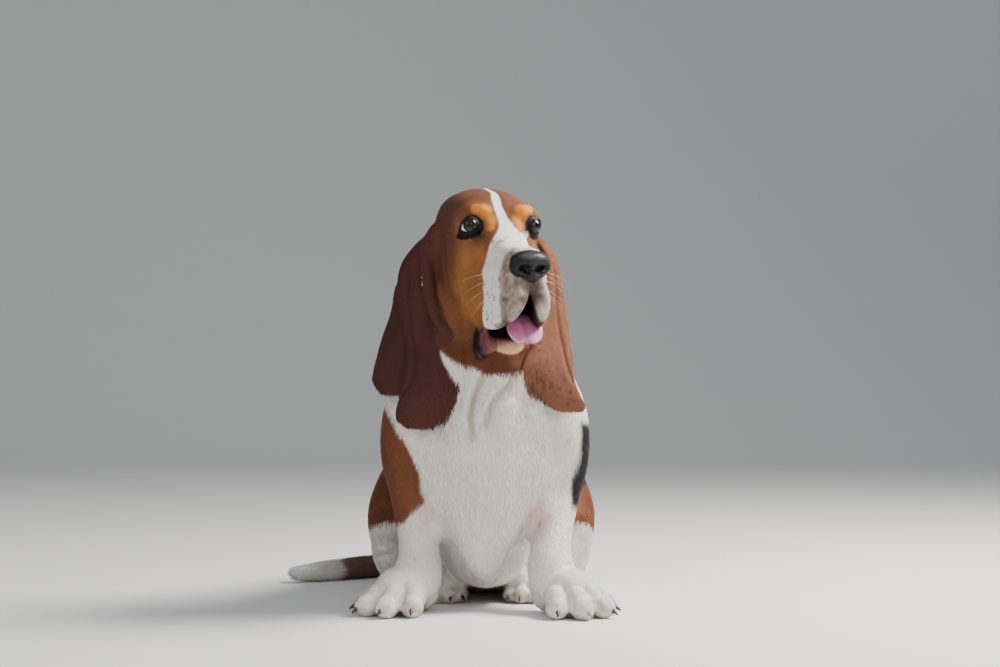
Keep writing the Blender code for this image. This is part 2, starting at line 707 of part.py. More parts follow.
def build_flesh():
    clay = bmesh.new()
    torso_and_neck(clay)
    for side in (RIGHT, LEFT):
        foreleg(clay, side)
        hind_leg(clay, side)
    tail(clay)
    skull(clay)
    flesh = object_of(clay, "flesh", "white")
    fuse(flesh, VOXEL)
    group_by_place(flesh, ("trunk", "trunk_and_head"), softness)
    soften(flesh, 3)
    soften(flesh, 8, "trunk_and_head")
    soften(flesh, 90, "trunk")
    thin(flesh, BODY_TRIANGLES)
    return flesh


def centre_on_floor():
    for obj in bpy.data.objects:
        obj.data.transform(Matrix.Translation(FRAME_SHIFT))


def main():
    clear_scene()
    flesh = build_flesh()
    eyes(flesh)
    nose(flesh)
    tongue(flesh)
    ears(flesh)
    part_flesh(flesh)
    pieces_of(flesh, FINISHES)
    centre_on_floor()


main()
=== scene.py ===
"""A sitting basset hound at life size: one skin, a short coat in tufts, eyes, lids, nose, tongue and claws.

The dog faces -Y with its left side towards +X and its paws on the floor at z = 0. Shapes are worked out in the
dog's own space, with the midline at x = 0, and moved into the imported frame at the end. Lengths are metres.
"""
from __future__ import annotations

import logging
import math
from dataclasses import dataclass, field
from enum import Enum

import bpy
import numpy as np
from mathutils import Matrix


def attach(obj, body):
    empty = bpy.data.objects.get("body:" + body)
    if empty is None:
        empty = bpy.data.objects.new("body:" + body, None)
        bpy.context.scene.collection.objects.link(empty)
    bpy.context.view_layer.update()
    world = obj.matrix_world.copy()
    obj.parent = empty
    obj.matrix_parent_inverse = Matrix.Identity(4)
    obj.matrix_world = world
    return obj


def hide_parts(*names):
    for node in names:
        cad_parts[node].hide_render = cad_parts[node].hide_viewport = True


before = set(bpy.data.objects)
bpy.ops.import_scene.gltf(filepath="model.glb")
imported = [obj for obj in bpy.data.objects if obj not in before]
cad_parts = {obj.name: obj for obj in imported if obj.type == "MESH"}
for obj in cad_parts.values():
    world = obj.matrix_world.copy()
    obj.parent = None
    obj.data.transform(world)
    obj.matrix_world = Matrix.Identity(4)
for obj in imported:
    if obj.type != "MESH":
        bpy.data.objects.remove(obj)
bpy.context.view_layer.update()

LOG = logging.getLogger("hound")
TAU = 2 * math.pi
MM = 0.001
BODY = "root"
SHIFT = np.array([0.064, -0.202, 0.0])  # from the dog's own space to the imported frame
Row = tuple[float, ...]


class Side(Enum):
    """The dog's own sides, by the sign of x."""

    RIGHT = -1
    LEFT = 1


class Coat(Enum):
    """The mesh that a tuft belongs to."""

    FACE = "coat_face"
    CROWN = "coat_crown"
    EARS = "coat_ears"
    NECK = "coat_neck"
    CHEST = "coat_chest"
    BACK = "coat_back"
    FLANKS = "coat_flanks"
    FORELEGS = "coat_forelegs"
    HIND = "coat_hindquarters"
    TAIL = "coat_tail"


def unit(rows: np.ndarray) -> np.ndarray:
    """Rows scaled to length 1."""
    return rows / np.maximum(np.linalg.norm(rows, axis=-1, keepdims=True), 1e-12)


def ramp(values: np.ndarray, low: float, high: float) -> np.ndarray:
    """Smooth step from 0 at low to 1 at high.

    Args:
        values: The numbers to map.
        low: Where the step starts. It may be above high, for a falling step.
        high: Where the step ends.

    Returns:
        Numbers from 0 to 1.
    """
    t = np.clip((values - low) / (high - low), 0.0, 1.0)
    return t * t * (3 - 2 * t)


def turn(axis: str, degrees: float) -> np.ndarray:
    """A 4 x 4 rotation about one of the axes x, y and z."""
    c, s = math.cos(math.radians(degrees)), math.sin(math.radians(degrees))
    i, j = {"x": (1, 2), "y": (2, 0), "z": (0, 1)}[axis]
    matrix = np.eye(4)
    matrix[i, i] = matrix[j, j] = c
    matrix[i, j], matrix[j, i] = -s, s
    return matrix


def shift(x: float, y: float, z: float) -> np.ndarray:
    """A 4 x 4 translation."""
    matrix = np.eye(4)
    matrix[:3, 3] = (x, y, z)
    return matrix


def moved(place: np.ndarray, points: np.ndarray) -> np.ndarray:
    """Points after a 4 x 4 transform."""
    return points @ place[:3, :3].T + place[:3, 3]


def curve(rows, steps: int, closed: bool = False) -> np.ndarray:
    """Catmull-Rom points through rows of numbers.

    Args:
        rows: The rows that the curve passes.
        steps: Points for each span.
        closed: Whether the last row joins the first.

    Returns:
        The rows of the smooth curve.
    """
    p = np.asarray(rows, dtype=float)
    if closed:
        p = np.concatenate([p[-1:], p, p[:2]])
    else:
        p = np.concatenate([2 * p[:1] - p[1:2], p, 2 * p[-1:] - p[-2:-1]])
    a, b, c, d = p[:-3, None], p[1:-2, None], p[2:-1, None], p[3:, None]
    t = (np.arange(steps) / steps)[None, :, None]
    smooth = 0.5 * (2 * b + (c - a) * t + (2 * a - 5 * b + 4 * c - d) * t**2 + (3 * b - a - 3 * c + d) * t**3)
    smooth = smooth.reshape(-1, p.shape[1])
    return smooth if closed else np.concatenate([smooth, p[-2:-1]])


def lattice(corner: np.ndarray, seed: int) -> np.ndarray:
    """A repeatable random number from -1 to 1 for each row of whole numbers."""
    h = corner[:, 0] * 374761393 + corner[:, 1] * 668265263 + corner[:, 2] * 2147483647 + seed * 974634777
    h = (h ^ (h >> 13)) * 1274126177 & 0xFFFFFFFF
    return ((h ^ (h >> 16)) & 0xFFFF) / 32767.5 - 1.0


def noise(points: np.ndarray, size: float, seed: int = 0) -> np.ndarray:
    """Smooth random numbers in space.

    Args:
        points: Rows of x, y and z.
        size: Distance over which the value changes.
        seed: Chooses one pattern.

    Returns:
        A number from -1 to 1 for each point.
    """
    p = points / size
    low = np.floor(p).astype(np.int64)
    t = p - low
    t = t * t * (3 - 2 * t)
    total = np.zeros(len(points))
    for corner in np.ndindex(2, 2, 2):
        weight = np.prod(np.where(corner, t, 1 - t), axis=1)
        total += weight * lattice(low + corner, seed)
    return total


def path_distance(points: np.ndarray, path: np.ndarray) -> tuple[np.ndarray, np.ndarray]:
    """How far each point lies from a path of straight spans.

    Args:
        points: Rows of x, y and z.
        path: The corners of the path.

    Returns:
        The distances, and how far along the path the nearest place is, from 0 to 1.
    """
    best = np.full(len(points), 1e9)
    along = np.zeros(len(points))
    spans = len(path) - 1
    for i, (a, b) in enumerate(zip(path, path[1:])):
        ab = b - a
        t = np.clip((points - a) @ ab / max(ab @ ab, 1e-12), 0, 1)
        away = np.linalg.norm(points - a - t[:, None] * ab, axis=1)
        closer = away < best
        best[closer] = away[closer]
        along[closer] = (i + t[closer]) / spans
    return best, along


@dataclass
class Clay:
    """Closed forms of rings, heaped up to be fused into one surface."""

    points: list[np.ndarray] = field(default_factory=list)
    faces: list[tuple[int, ...]] = field(default_factory=list)
    count: int = 0

    def rings(self, rings: np.ndarray, place: np.ndarray | None = None) -> None:
        """Joins rings of one length into a closed tube.

        Args:
            rings: Rings, points and coordinates.
            place: Where the tube goes in the dog's space.
        """
        rows, size, _ = rings.shape
        points = rings.reshape(-1, 3)
        self.points.append(points if place is None else moved(place, points))
        index = np.arange(rows * size).reshape(rows, size) + self.count
        nxt = np.roll(index, -1, axis=1)
        quads = np.stack([index[:-1], nxt[:-1], nxt[1:], index[1:]], axis=-1).reshape(-1, 4)
        self.faces.extend(map(tuple, quads.tolist()))
        self.faces.append(tuple(index[0][::-1].tolist()))
        self.faces.append(tuple(index[-1].tolist()))
        self.count += rows * size

    def ball(self, centre: Row, radii: Row, place: np.ndarray | None = None, spin: np.ndarray | None = None,
             segments: int = 28) -> None:
        """Adds an ellipsoid.

        Args:
            centre: Its middle.
            radii: Its three half sizes.
            place: The space that the centre is given in.
            spin: How it is turned about its middle.
            segments: Points in each ring.
        """
        rows = segments // 2
        tilt = np.pi * np.clip(np.arange(rows + 1) / rows, 0.02, 0.98)
        turns = TAU * np.arange(segments) / segments
        rings = np.stack([np.outer(np.sin(tilt), np.cos(turns)), np.outer(np.sin(tilt), np.sin(turns)),
                          np.outer(-np.cos(tilt), np.ones(segments))], axis=-1)
        where = shift(*centre) @ (np.eye(4) if spin is None else spin) @ np.diag([*radii, 1])
        self.rings(rings, where if place is None else place @ where)

    def limb(self, stations, place: np.ndarray | None = None, steps: int = 5, square: float = 2.0,
             side_hint: Row = (1, 0, 0)) -> None:
        """Adds a bent tube with round ends.

        Args:
            stations: Rows of x, y, z, half width and half depth.
            place: The space that the stations are given in.
            steps: Rings for each span.
            square: Above 2 it fills the corners of each ring.
            side_hint: Roughly the way that half width is measured.
        """
        line = curve(stations, steps)
        along = np.empty((len(line), 3))
        along[1:-1] = line[2:, :3] - line[:-2, :3]
        along[0], along[-1] = line[1, :3] - line[0, :3], line[-1, :3] - line[-2, :3]
        along = unit(along)
        side = np.asarray(side_hint, dtype=float)
        side = unit(side - along * (along @ side)[:, None])
        deep = np.cross(along, side)
        self.rings(np.stack([oval(s[:3], a * s[3], d * s[4], square=square)
                             for s, a, d in zip(line, side, deep)]), place)
        for end in (stations[0], stations[-1]):
            self.ball(end[:3], [min(end[3], end[4])] * 3, place)

    def mesh(self, name: str) -> bpy.types.Mesh:
        """The heap as a Blender mesh."""
        made = bpy.data.meshes.new(name)
        made.from_pydata(np.concatenate(self.points).tolist(), [], self.faces)
        return made


def oval(centre, side, up, square: float = 2.0, count: int = 28) -> np.ndarray:
    """A ring round a centre.

    Args:
        centre: Its middle.
        side: Half its width, as a vector.
        up: Half its height, as a vector.
        square: Above 2 it fills the corners.
        count: Points in the ring.

    Returns:
        The ring's points.
    """
    turns = TAU * np.arange(count) / count
    across = np.sign(np.cos(turns)) * np.abs(np.cos(turns)) ** (2 / square)
    rise = np.sign(np.sin(turns)) * np.abs(np.sin(turns)) ** (2 / square)
    return np.asarray(centre) + across[:, None] * np.asarray(side) + rise[:, None] * np.asarray(up)


def used_up(holder: bpy.types.Object) -> tuple[np.ndarray, np.ndarray]:
    """The points and triangles that an object's modifiers give. The object and its mesh are removed."""
    solid = holder.evaluated_get(bpy.context.evaluated_depsgraph_get()).to_mesh()
    solid.calc_loop_triangles()
    points = np.empty(len(solid.vertices) * 3)
    solid.vertices.foreach_get("co", points)
    triangles = np.empty(len(solid.loop_triangles) * 3, dtype=np.int32)
    solid.loop_triangles.foreach_get("vertices", triangles)
    mesh = holder.data
    bpy.data.objects.remove(holder, do_unlink=True)
    bpy.data.meshes.remove(mesh)
    return points.reshape(-1, 3), triangles.reshape(-1, 3).astype(np.int64)


def fused(mesh: bpy.types.Mesh, voxel: float) -> Web:
    """One closed surface round a heap of forms.

    Args:
        mesh: The heap, which is removed.
        voxel: Fineness of the surface.

    Returns:
        The surface in triangles.
    """
    holder = bpy.data.objects.new("heap", mesh)
    bpy.context.scene.collection.objects.link(holder)
    remesh = holder.modifiers.new("fuse", "REMESH")
    remesh.mode = "VOXEL"
    remesh.voxel_size = voxel
    return Web(*used_up(holder))


@dataclass
class Web:
    """A closed surface of triangles as arrays."""

    points: np.ndarray
    triangles: np.ndarray

    def normals(self) -> np.ndarray:
        """The outward direction at each point."""
        a, b, c = (self.points[self.triangles[:, k]] for k in range(3))
        face = np.cross(b - a, c - a)
        total = np.stack([np.bincount(self.triangles.ravel(), np.repeat(face[:, k], 3), len(self.points))
                          for k in range(3)], axis=1)
        return unit(total)

    def relax(self, weight: np.ndarray | float, rounds: int) -> None:
        """Moves each point towards the middle of its neighbours.

        Args:
            weight: How far, from 0 to 1, for each point.
            rounds: How often.
        """
        start = self.triangles.ravel()
        end = np.roll(self.triangles, -1, axis=1).ravel()
        valence = np.maximum(np.bincount(start, minlength=len(self.points)), 1)
        share = np.broadcast_to(weight, len(self.points))[:, None] * 0.5
        for _ in range(rounds):
            middle = np.stack([np.bincount(start, self.points[end, k], len(self.points))
                               for k in range(3)], axis=1) / valence[:, None]
            self.points = self.points + share * (middle - self.points)

    def refine(self, chosen: np.ndarray) -> None:
        """Halves every edge between two chosen points.

        Args:
            chosen: Whether each point is chosen.
        """
        t = self.triangles
        pairs = np.stack([t, np.roll(t, -1, axis=1)], axis=-1).reshape(-1, 2)
        pairs.sort(axis=1)
        key = pairs[:, 0] * len(self.points) + pairs[:, 1]
        edges, index = np.unique(key, return_inverse=True)
        a, b = edges // len(self.points), edges % len(self.points)
        split = chosen[a] & chosen[b]
        fresh = np.full(len(edges), -1)
        fresh[split] = len(self.points) + np.arange(split.sum())
        self.points = np.concatenate([self.points, (self.points[a[split]] + self.points[b[split]]) / 2])
        middle = fresh[index].reshape(-1, 3)
        cuts = (middle >= 0).sum(axis=1)
        made = [t[cuts == 0]]
        full, m = t[cuts == 3], middle[cuts == 3]
        made += [np.stack(rows, axis=1) for rows in (
            (full[:, 0], m[:, 0], m[:, 2]), (full[:, 1], m[:, 1], m[:, 0]),
            (full[:, 2], m[:, 2], m[:, 1]), (m[:, 0], m[:, 1], m[:, 2]))]
        for k in range(3):
            one = (cuts == 1) & (middle[:, k] >= 0)
            p, q, r, m0 = t[one, k], t[one, (k + 1) % 3], t[one, (k + 2) % 3], middle[one, k]
            made += [np.stack([p, m0, r], axis=1), np.stack([m0, q, r], axis=1)]
            two = (cuts == 2) & (middle[:, k] < 0)
            p, q, r = t[two, k], t[two, (k + 1) % 3], t[two, (k + 2) % 3]
            mq, mr = middle[two, (k + 1) % 3], middle[two, (k + 2) % 3]
            made += [np.stack([mq, r, mr], axis=1), np.stack([p, q, mq], axis=1), np.stack([p, mq, mr], axis=1)]
        self.triangles = np.concatenate(made)

    def thin(self, ratio: float, weight: np.ndarray) -> None:
        """Collapses edges, mostly where the weight is high.

        Args:
            ratio: Share of the triangles that stays.
            weight: From 0, kept, to 1, thinned first, for each point.
        """
        holder = self.holder("thinned")
        group = holder.vertex_groups.new(name="thin")
        for level in range(11):
            chosen = np.flatnonzero(np.round(weight * 10) == level)
            group.add(chosen.tolist(), level / 10, "REPLACE")
        collapse = holder.modifiers.new("thin", "DECIMATE")
        collapse.ratio = ratio
        collapse.vertex_group = "thin"
        collapse.vertex_group_factor = 1.0
        self.points, self.triangles = used_up(holder)

    def mesh(self, name: str) -> bpy.types.Mesh:
        """The surface as a Blender mesh, shaded smooth."""
        made = bpy.data.meshes.new(name)
        made.vertices.add(len(self.points))
        made.vertices.foreach_set("co", self.points.astype(np.float32).ravel())
        made.loops.add(self.triangles.size)
        made.loops.foreach_set("vertex_index", self.triangles.astype(np.int32).ravel())
        made.polygons.add(len(self.triangles))
        made.polygons.foreach_set("loop_start", (np.arange(len(self.triangles)) * 3).astype(np.int32))
        made.update(calc_edges=True)
        made.shade_smooth()
        return made

    def holder(self, name: str) -> bpy.types.Object:
        """The surface as an object in the scene."""
        made = bpy.data.objects.new(name, self.mesh(name))
        bpy.context.scene.collection.objects.link(made)
        return made


@dataclass(frozen=True)
class HeadPlace:
    """Where the head's own axes, forward, left and up, lie in the dog's space."""

    pivot: Row = (0.002, 0.015, 0.474)
    yaw: float = 24.5
    pitch: float = -7.0
    roll: float = 1.5

    def matrix(self) -> np.ndarray:
        """Head axes to the dog's space."""
        yaw = math.radians(self.yaw)
        ahead = np.array([math.sin(yaw), -math.cos(yaw), 0.0])
        left = np.array([math.cos(yaw), math.sin(yaw), 0.0])
        tilt = about(ahead, self.roll) @ about(left, -self.pitch)
        matrix = np.eye(4)
        matrix[:3, :3] = (tilt @ np.stack([ahead, left, [0.0, 0.0, 1.0]]).T)
        matrix[:3, 3] = self.pivot
        return matrix


def about(axis: np.ndarray, degrees: float) -> np.ndarray:
    """A 3 x 3 rotation about a unit vector."""
    c, s = math.cos(math.radians(degrees)), math.sin(math.radians(degrees))
    x, y, z = axis
    cross = np.array([[0, -z, y], [z, 0, -x], [-y, x, 0]])
    return c * np.eye(3) + s * cross + (1 - c) * np.outer(axis, axis)


HEAD = HeadPlace().matrix()
FROM_HEAD = np.linalg.inv(HEAD)


@dataclass(frozen=True)
class Eyes:
    """Size and place of the eyeballs, in head axes."""

    radius: float = 0.0122
    lid: float = 0.0042
    at: Row = (0.044, 0.044, 0.0345)
    turned: float = 30.0

    def place(self, side: Side) -> np.ndarray:
        """Axes of one eye: out of the socket, sideways and up, in the dog's space."""
        forward, left, up = self.at
        return HEAD @ shift(forward, side.value * left, up) @ turn("z", side.value * self.turned)


EYES = Eyes()


@dataclass(frozen=True)
class Trunk:
    """Body, neck and the loose skin of the chest."""

    slices: tuple[Row, ...] = (
        (0.02, 0.345, -0.022, 0.205, 0.06), (0.055, 0.38, -0.018, 0.14, 0.104), (0.11, 0.392, 0.02, 0.09, 0.12),
        (0.185, 0.362, 0.085, 0.06, 0.125), (0.262, 0.312, 0.17, 0.044, 0.128), (0.338, 0.255, 0.255, 0.032, 0.124),
        (0.405, 0.192, 0.335, 0.016, 0.118), (0.458, 0.128, 0.4, -0.004, 0.104),
        (0.482, 0.078, 0.445, -0.006, 0.07),
    )
    neck: tuple[Row, ...] = (
        (0.15, 0.34, 0.02, 0.215, 0.1), (0.122, 0.398, -0.026, 0.27, 0.098), (0.098, 0.44, -0.036, 0.318, 0.084),
        (0.078, 0.482, -0.03, 0.366, 0.075), (0.062, 0.512, -0.01, 0.42, 0.068),
    )
    apron: tuple[Row, ...] = (
        (0.0, 0.014, 0.2, 0.074, 0.044), (0.0, 0.01, 0.14, 0.06, 0.04), (0.001, 0.014, 0.095, 0.044, 0.036),
        (0.002, 0.022, 0.062, 0.028, 0.028), (0.003, 0.03, 0.046, 0.014, 0.018),
    )

    def lay(self, clay: Clay) -> None:
        """Adds the trunk to the clay."""
        for slices, square in ((self.slices, 2.3), (self.neck, 2.2)):
            line = curve(slices, 4)
            rings = []
            for top_y, top_z, low_y, low_z, width in line:
                top, low = np.array([0, top_y, top_z]), np.array([0, low_y, low_z])
                rings.append(oval((top + low) / 2, (width, 0, 0), (top - low) / 2, square))
            clay.rings(np.stack(rings))
        clay.ball((0, -0.004, 0.25), (0.06, 0.034, 0.07))
        clay.limb(self.apron)
        clay.ball((0, 0.105, 0.072), (0.06, 0.085, 0.052))
        clay.ball((0, 0.28, 0.056), (0.105, 0.13, 0.062))


@dataclass(frozen=True)
class Toes:
    """Four toes that fan from a heel."""

    angles: Row
    reaches: Row
    thick: float

    def way(self, side: Side, index: int) -> np.ndarray:
        """The direction of one toe along the floor."""
        angle = math.radians(self.angles[index])
        return np.array([side.value * math.sin(angle), -math.cos(angle), 0.0])

    def lay(self, clay: Clay, heel: Row, side: Side) -> None:
        """Adds the toes, each a root, a high knuckle and a lower tip."""
        for index, reach in enumerate(self.reaches):
            way, spin = self.way(side, index), turn("z", side.value * self.angles[index])
            for along, rise, size in (
                (0.66, 1.26, (0.94, 1.3, 1.05)),
                (0.92, 0.74, (0.86, 1.05, 0.86)),
                (0.36, 1.5, (1.0, 1.5, 1.15)),
            ):
                spot = np.array(heel) * (1, 1, 0) + way * reach * along + (0, 0, self.thick * rise)
                clay.ball(spot, [self.thick * k for k in size], spin=spin, segments=20)

    def gaps(self, heel: Row, side: Side) -> list[np.ndarray]:
        """The lines between neighbouring toes, from the top of the foot down to the floor."""
        lines = []
        for index in range(len(self.angles) - 1):
            way = unit(self.way(side, index) + self.way(side, index + 1))
            reach = (self.reaches[index] + self.reaches[index + 1]) / 2
            lines.append(np.array([np.array(heel) * (1, 1, 0) + way * reach * along + (0, 0, self.thick * rise)
                                   for along, rise in ((0.5, 2.45), (0.75, 2.0), (0.95, 1.35), (1.05, 0.5))]))
        return lines


@dataclass(frozen=True)
class Foreleg:
    """Shoulder, forearm and a big turned-out paw."""

    wrist: Row = (0.086, 0.012, 0.06)
    elbow: Row = (0.093, 0.058, 0.145)
    toes: Toes = Toes((2, 26, 50, 76), (0.07, 0.086, 0.086, 0.07), 0.018)

    def reach(self, side: Side) -> float:
        """How much further forward this side stands."""
        return -0.012 if side is Side.LEFT else 0.006

    def heel(self, side: Side) -> Row:
        """Where the toes fan from."""
        return (side.value * 0.09, 0.008 + self.reach(side), 0.0)

    def lay(self, clay: Clay, side: Side) -> None:
        """Adds the leg of one side."""
        x, reach = side.value, self.reach(side)
        elbow, wrist = self.elbow, self.wrist
        clay.limb((
            (x * 0.07, 0.105, 0.33, 0.03, 0.05),
            (x * 0.096, 0.062, 0.262, 0.04, 0.06),
            (x * 0.104, 0.05, 0.205, 0.037, 0.05),
            (x * elbow[0], elbow[1], elbow[2] + 0.012, 0.036, 0.042),
        ))
        clay.limb((
            (x * elbow[0], elbow[1] - 0.004, elbow[2], 0.034, 0.042),
            (x * 0.089, 0.038 + reach * 0.4, 0.112, 0.03, 0.036),
            (x * 0.086, 0.022 + reach * 0.8, 0.08, 0.028, 0.031),
            (x * wrist[0], wrist[1] + reach, wrist[2], 0.031, 0.032),
            (x * 0.0905, 0.004 + reach, 0.04, 0.034, 0.033),
        ))
        clay.ball((x * 0.104, -0.008 + reach, 0.034), (0.033, 0.046, 0.029), spin=turn("z", x * 42))
        clay.ball((x * 0.086, 0.01 + reach, 0.024), (0.026, 0.026, 0.024))
        self.toes.lay(clay, self.heel(side), side)


@dataclass(frozen=True)
class HindLeg:
    """Thigh, shin and the long foot that lies on the floor."""

    paw: Row = (0.05, 0.14, 0.026)
    sway: float = -0.007
    toes: Toes = Toes((-24, -6, 12, 30), (0.047, 0.056, 0.055, 0.045), 0.015)

    def heel(self, side: Side) -> Row:
        """Where the toes fan from."""
        return (side.value * (self.paw[0] + 0.004), self.paw[1] + 0.012, 0.0)

    def lay(self, clay: Clay, side: Side) -> None:
        """Adds the leg of one side."""
        x, sway = side.value, shift(self.sway, 0, 0)
        clay.limb((
            (x * 0.062, 0.4, 0.14, 0.05, 0.062),
            (x * 0.1, 0.348, 0.13, 0.052, 0.082),
            (x * 0.126, 0.285, 0.108, 0.04, 0.066),
            (x * 0.132, 0.238, 0.098, 0.032, 0.044),
        ), sway)
        clay.ball((x * 0.126, 0.315, 0.07), (0.038, 0.085, 0.066), sway)
        clay.limb((
            (x * 0.134, 0.245, 0.09, 0.03, 0.036),
            (x * 0.132, 0.3, 0.052, 0.026, 0.032),
            (x * 0.116, 0.34, 0.026, 0.022, 0.026),
        ), sway)
        clay.limb((
            (x * 0.114, 0.338, 0.018, 0.022, 0.022),
            (x * 0.088, 0.262, 0.02, 0.022, 0.021),
            (x * 0.062, 0.186, 0.024, 0.026, 0.022),
        ))
        clay.ball((x * self.paw[0], self.paw[1], self.paw[2]), (0.029, 0.04, 0.024))
        self.toes.lay(clay, self.heel(side), side)


@dataclass(frozen=True)
class Tail:
    """A tapering tail that lies on the floor towards the dog's right."""

    stations: tuple[Row, ...] = (
        (0.004, 0.448, 0.06, 0.036, 0.034), (-0.02, 0.492, 0.036, 0.028, 0.026),
        (-0.082, 0.498, 0.022, 0.021, 0.021), (-0.165, 0.445, 0.017, 0.018, 0.018),
        (-0.24, 0.385, 0.015, 0.016, 0.016), (-0.282, 0.358, 0.014, 0.011, 0.012),
    )

    def lay(self, clay: Clay) -> None:
        """Adds the tail to the clay."""
        clay.limb(self.stations, side_hint=(0, 0, 1))


@dataclass(frozen=True)
class Skull:
    """Skull, muzzle, brows, flews, jaw and throat, in head axes."""

    # forward, top, upper, middle and lower half widths, bottom
    sections: tuple[Row, ...] = (
        (-0.104, 0.05, 0.012, 0.016, 0.012, 0.01), (-0.088, 0.062, 0.034, 0.04, 0.04, -0.03),
        (-0.055, 0.076, 0.052, 0.058, 0.054, -0.08), (-0.02, 0.082, 0.06, 0.063, 0.058, -0.108),
        (0.012, 0.081, 0.06, 0.061, 0.05, -0.11), (0.036, 0.073, 0.056, 0.056, 0.045, -0.098),
        (0.054, 0.05, 0.043, 0.047, 0.041, -0.07), (0.068, 0.028, 0.031, 0.039, 0.037, -0.056),
        (0.09, 0.017, 0.027, 0.035, 0.034, -0.05), (0.114, 0.013, 0.0255, 0.031, 0.03, -0.046),
        (0.132, 0.011, 0.023, 0.026, 0.025, -0.042), (0.141, 0.004, 0.015, 0.017, 0.015, -0.034),
    )
    # Loose lip at each corner of the mouth: middle and radii
    slack: tuple[tuple[Row, Row], ...] = (
        ((0.061, -0.0295, -0.108), (0.017, 0.01, 0.016)),
        ((0.06, -0.0305, -0.123), (0.0135, 0.0088, 0.015)),
        ((0.074, -0.025, -0.118), (0.0125, 0.009, 0.012)),
        ((0.052, 0.027, -0.106), (0.015, 0.0085, 0.019)),
    )

    def loft(self, clay: Clay) -> None:
        """Adds the loft along the head."""
        rings = []
        for forward, top, upper, middle, lower, bottom in curve(self.sections, 4):
            tall = top - bottom
            half = ((0.0, top), (upper * 0.72, top - tall * 0.07), (upper, top - tall * 0.27),
                    (middle, top - tall * 0.55), (lower, top - tall * 0.83), (lower * 0.6, bottom), (0.0, bottom))
            other = [(-side, up) for side, up in reversed(half[1:-1])]
            rings.append(curve([(forward, side, up) for side, up in (*half, *other)], 4, closed=True))
        clay.rings(np.stack(rings), HEAD)

    def lay(self, clay: Clay) -> None:
        """Adds the head to the clay."""
        self.loft(clay)
        for side in Side:
            x = side.value
            clay.ball((0.036, x * 0.03, 0.052), (0.019, 0.024, 0.014), HEAD, turn("z", x * 25))
            clay.ball((0.033, x * 0.04, 0.036), (0.025, 0.023, 0.024), HEAD)
            clay.limb((
                (0.134, x * 0.011, -0.034, 0.012, 0.022),
                (0.122, x * 0.02, -0.048, 0.0115, 0.034),
                (0.1, x * 0.028, -0.054, 0.011, 0.041),
                (0.074, x * 0.033, -0.054, 0.0115, 0.042),
                (0.044, x * 0.037, -0.05, 0.013, 0.043),
                (0.012, x * 0.038, -0.044, 0.015, 0.044),
            ), HEAD, side_hint=(0, 1, 0), square=2.5)
            clay.ball((-0.034, x * 0.056, 0.002), (0.026, 0.016, 0.034), HEAD)
            forward, left, up = EYES.at
            clay.ball((forward, x * left, up), [EYES.radius + EYES.lid] * 3, HEAD)
        for centre, radii in self.slack:
            clay.ball(centre, radii, HEAD, turn("y", -10))
        clay.limb((
            (-0.04, 0, -0.07, 0.04, 0.034), (0.01, 0, -0.094, 0.032, 0.024), (0.052, 0, -0.112, 0.026, 0.016),
            (0.092, 0, -0.1175, 0.0185, 0.0115),
        ), HEAD, side_hint=(0, 1, 0))
        clay.ball((-0.035, 0, -0.086), (0.05, 0.046, 0.04), HEAD)


@dataclass(frozen=True)
class Lobe:
    """A hanging fold of an ear: x, y, z, half width, half thickness and plan angle at each station."""

    stations: tuple[Row, ...]

    def lay(self, clay: Clay) -> None:
        """Adds the fold to the clay."""
        rings = []
        for x, y, z, wide, thick, plan in curve(self.stations, 6):
            c, s = math.cos(math.radians(plan)), math.sin(math.radians(plan))
            rings.append(oval((x, y, z), (c * wide, s * wide, 0), (-s * thick, c * thick, 0), 3.0))
        clay.rings(np.stack(rings))

    def cover(self, points: np.ndarray) -> tuple[np.ndarray, np.ndarray]:
        """Which places lie on the fold.

        Args:
            points: Rows in the dog's space.

        Returns:
            From 0 to 1 how far each place is part of it, and its distance inside the nearer long edge.
        """
        past, deep = self.outside(points)
        return ramp(past, 1.6 * MM, 0.4 * MM) * ramp(deep, 4 * MM, 2.5 * MM), -past

    def outside(self, points: np.ndarray) -> tuple[np.ndarray, np.ndarray]:
        """How far places lie beyond the fold's edge, and beyond its face."""
        line = curve(self.stations, 4)[::-1]
        x, y, wide, thick, plan = (np.interp(points[:, 2], line[:, 2], line[:, k]) for k in (0, 1, 3, 4, 5))
        c, s = np.cos(np.radians(plan)), np.sin(np.radians(plan))
        right, back = points[:, 0] - x, points[:, 1] - y
        past = np.abs(right * c + back * s) - wide
        low, high = line[0, 2] - points[:, 2], points[:, 2] - line[-1, 2]
        off = np.maximum(np.maximum(low, high), 0)
        return np.where(off > 0, np.hypot(np.maximum(past, 0), off), past), np.abs(back * c - right * s) - thick

    def undercut(self, web: "Web", normals: np.ndarray) -> None:
        """Sinks the body just outside the fold's edge, so that the fold hangs free of it."""
        past, deep = self.outside(web.points)
        push = np.exp(-(((past - 3.5 * MM) / (2.5 * MM)) ** 2)) * ramp(deep, 14 * MM, 8 * MM)
        top = self.stations[0][2]
        push *= ramp(web.points[:, 2], top - 4 * MM, top - 24 * MM)
        web.points -= normals * (2.6 * MM * push)[:, None]


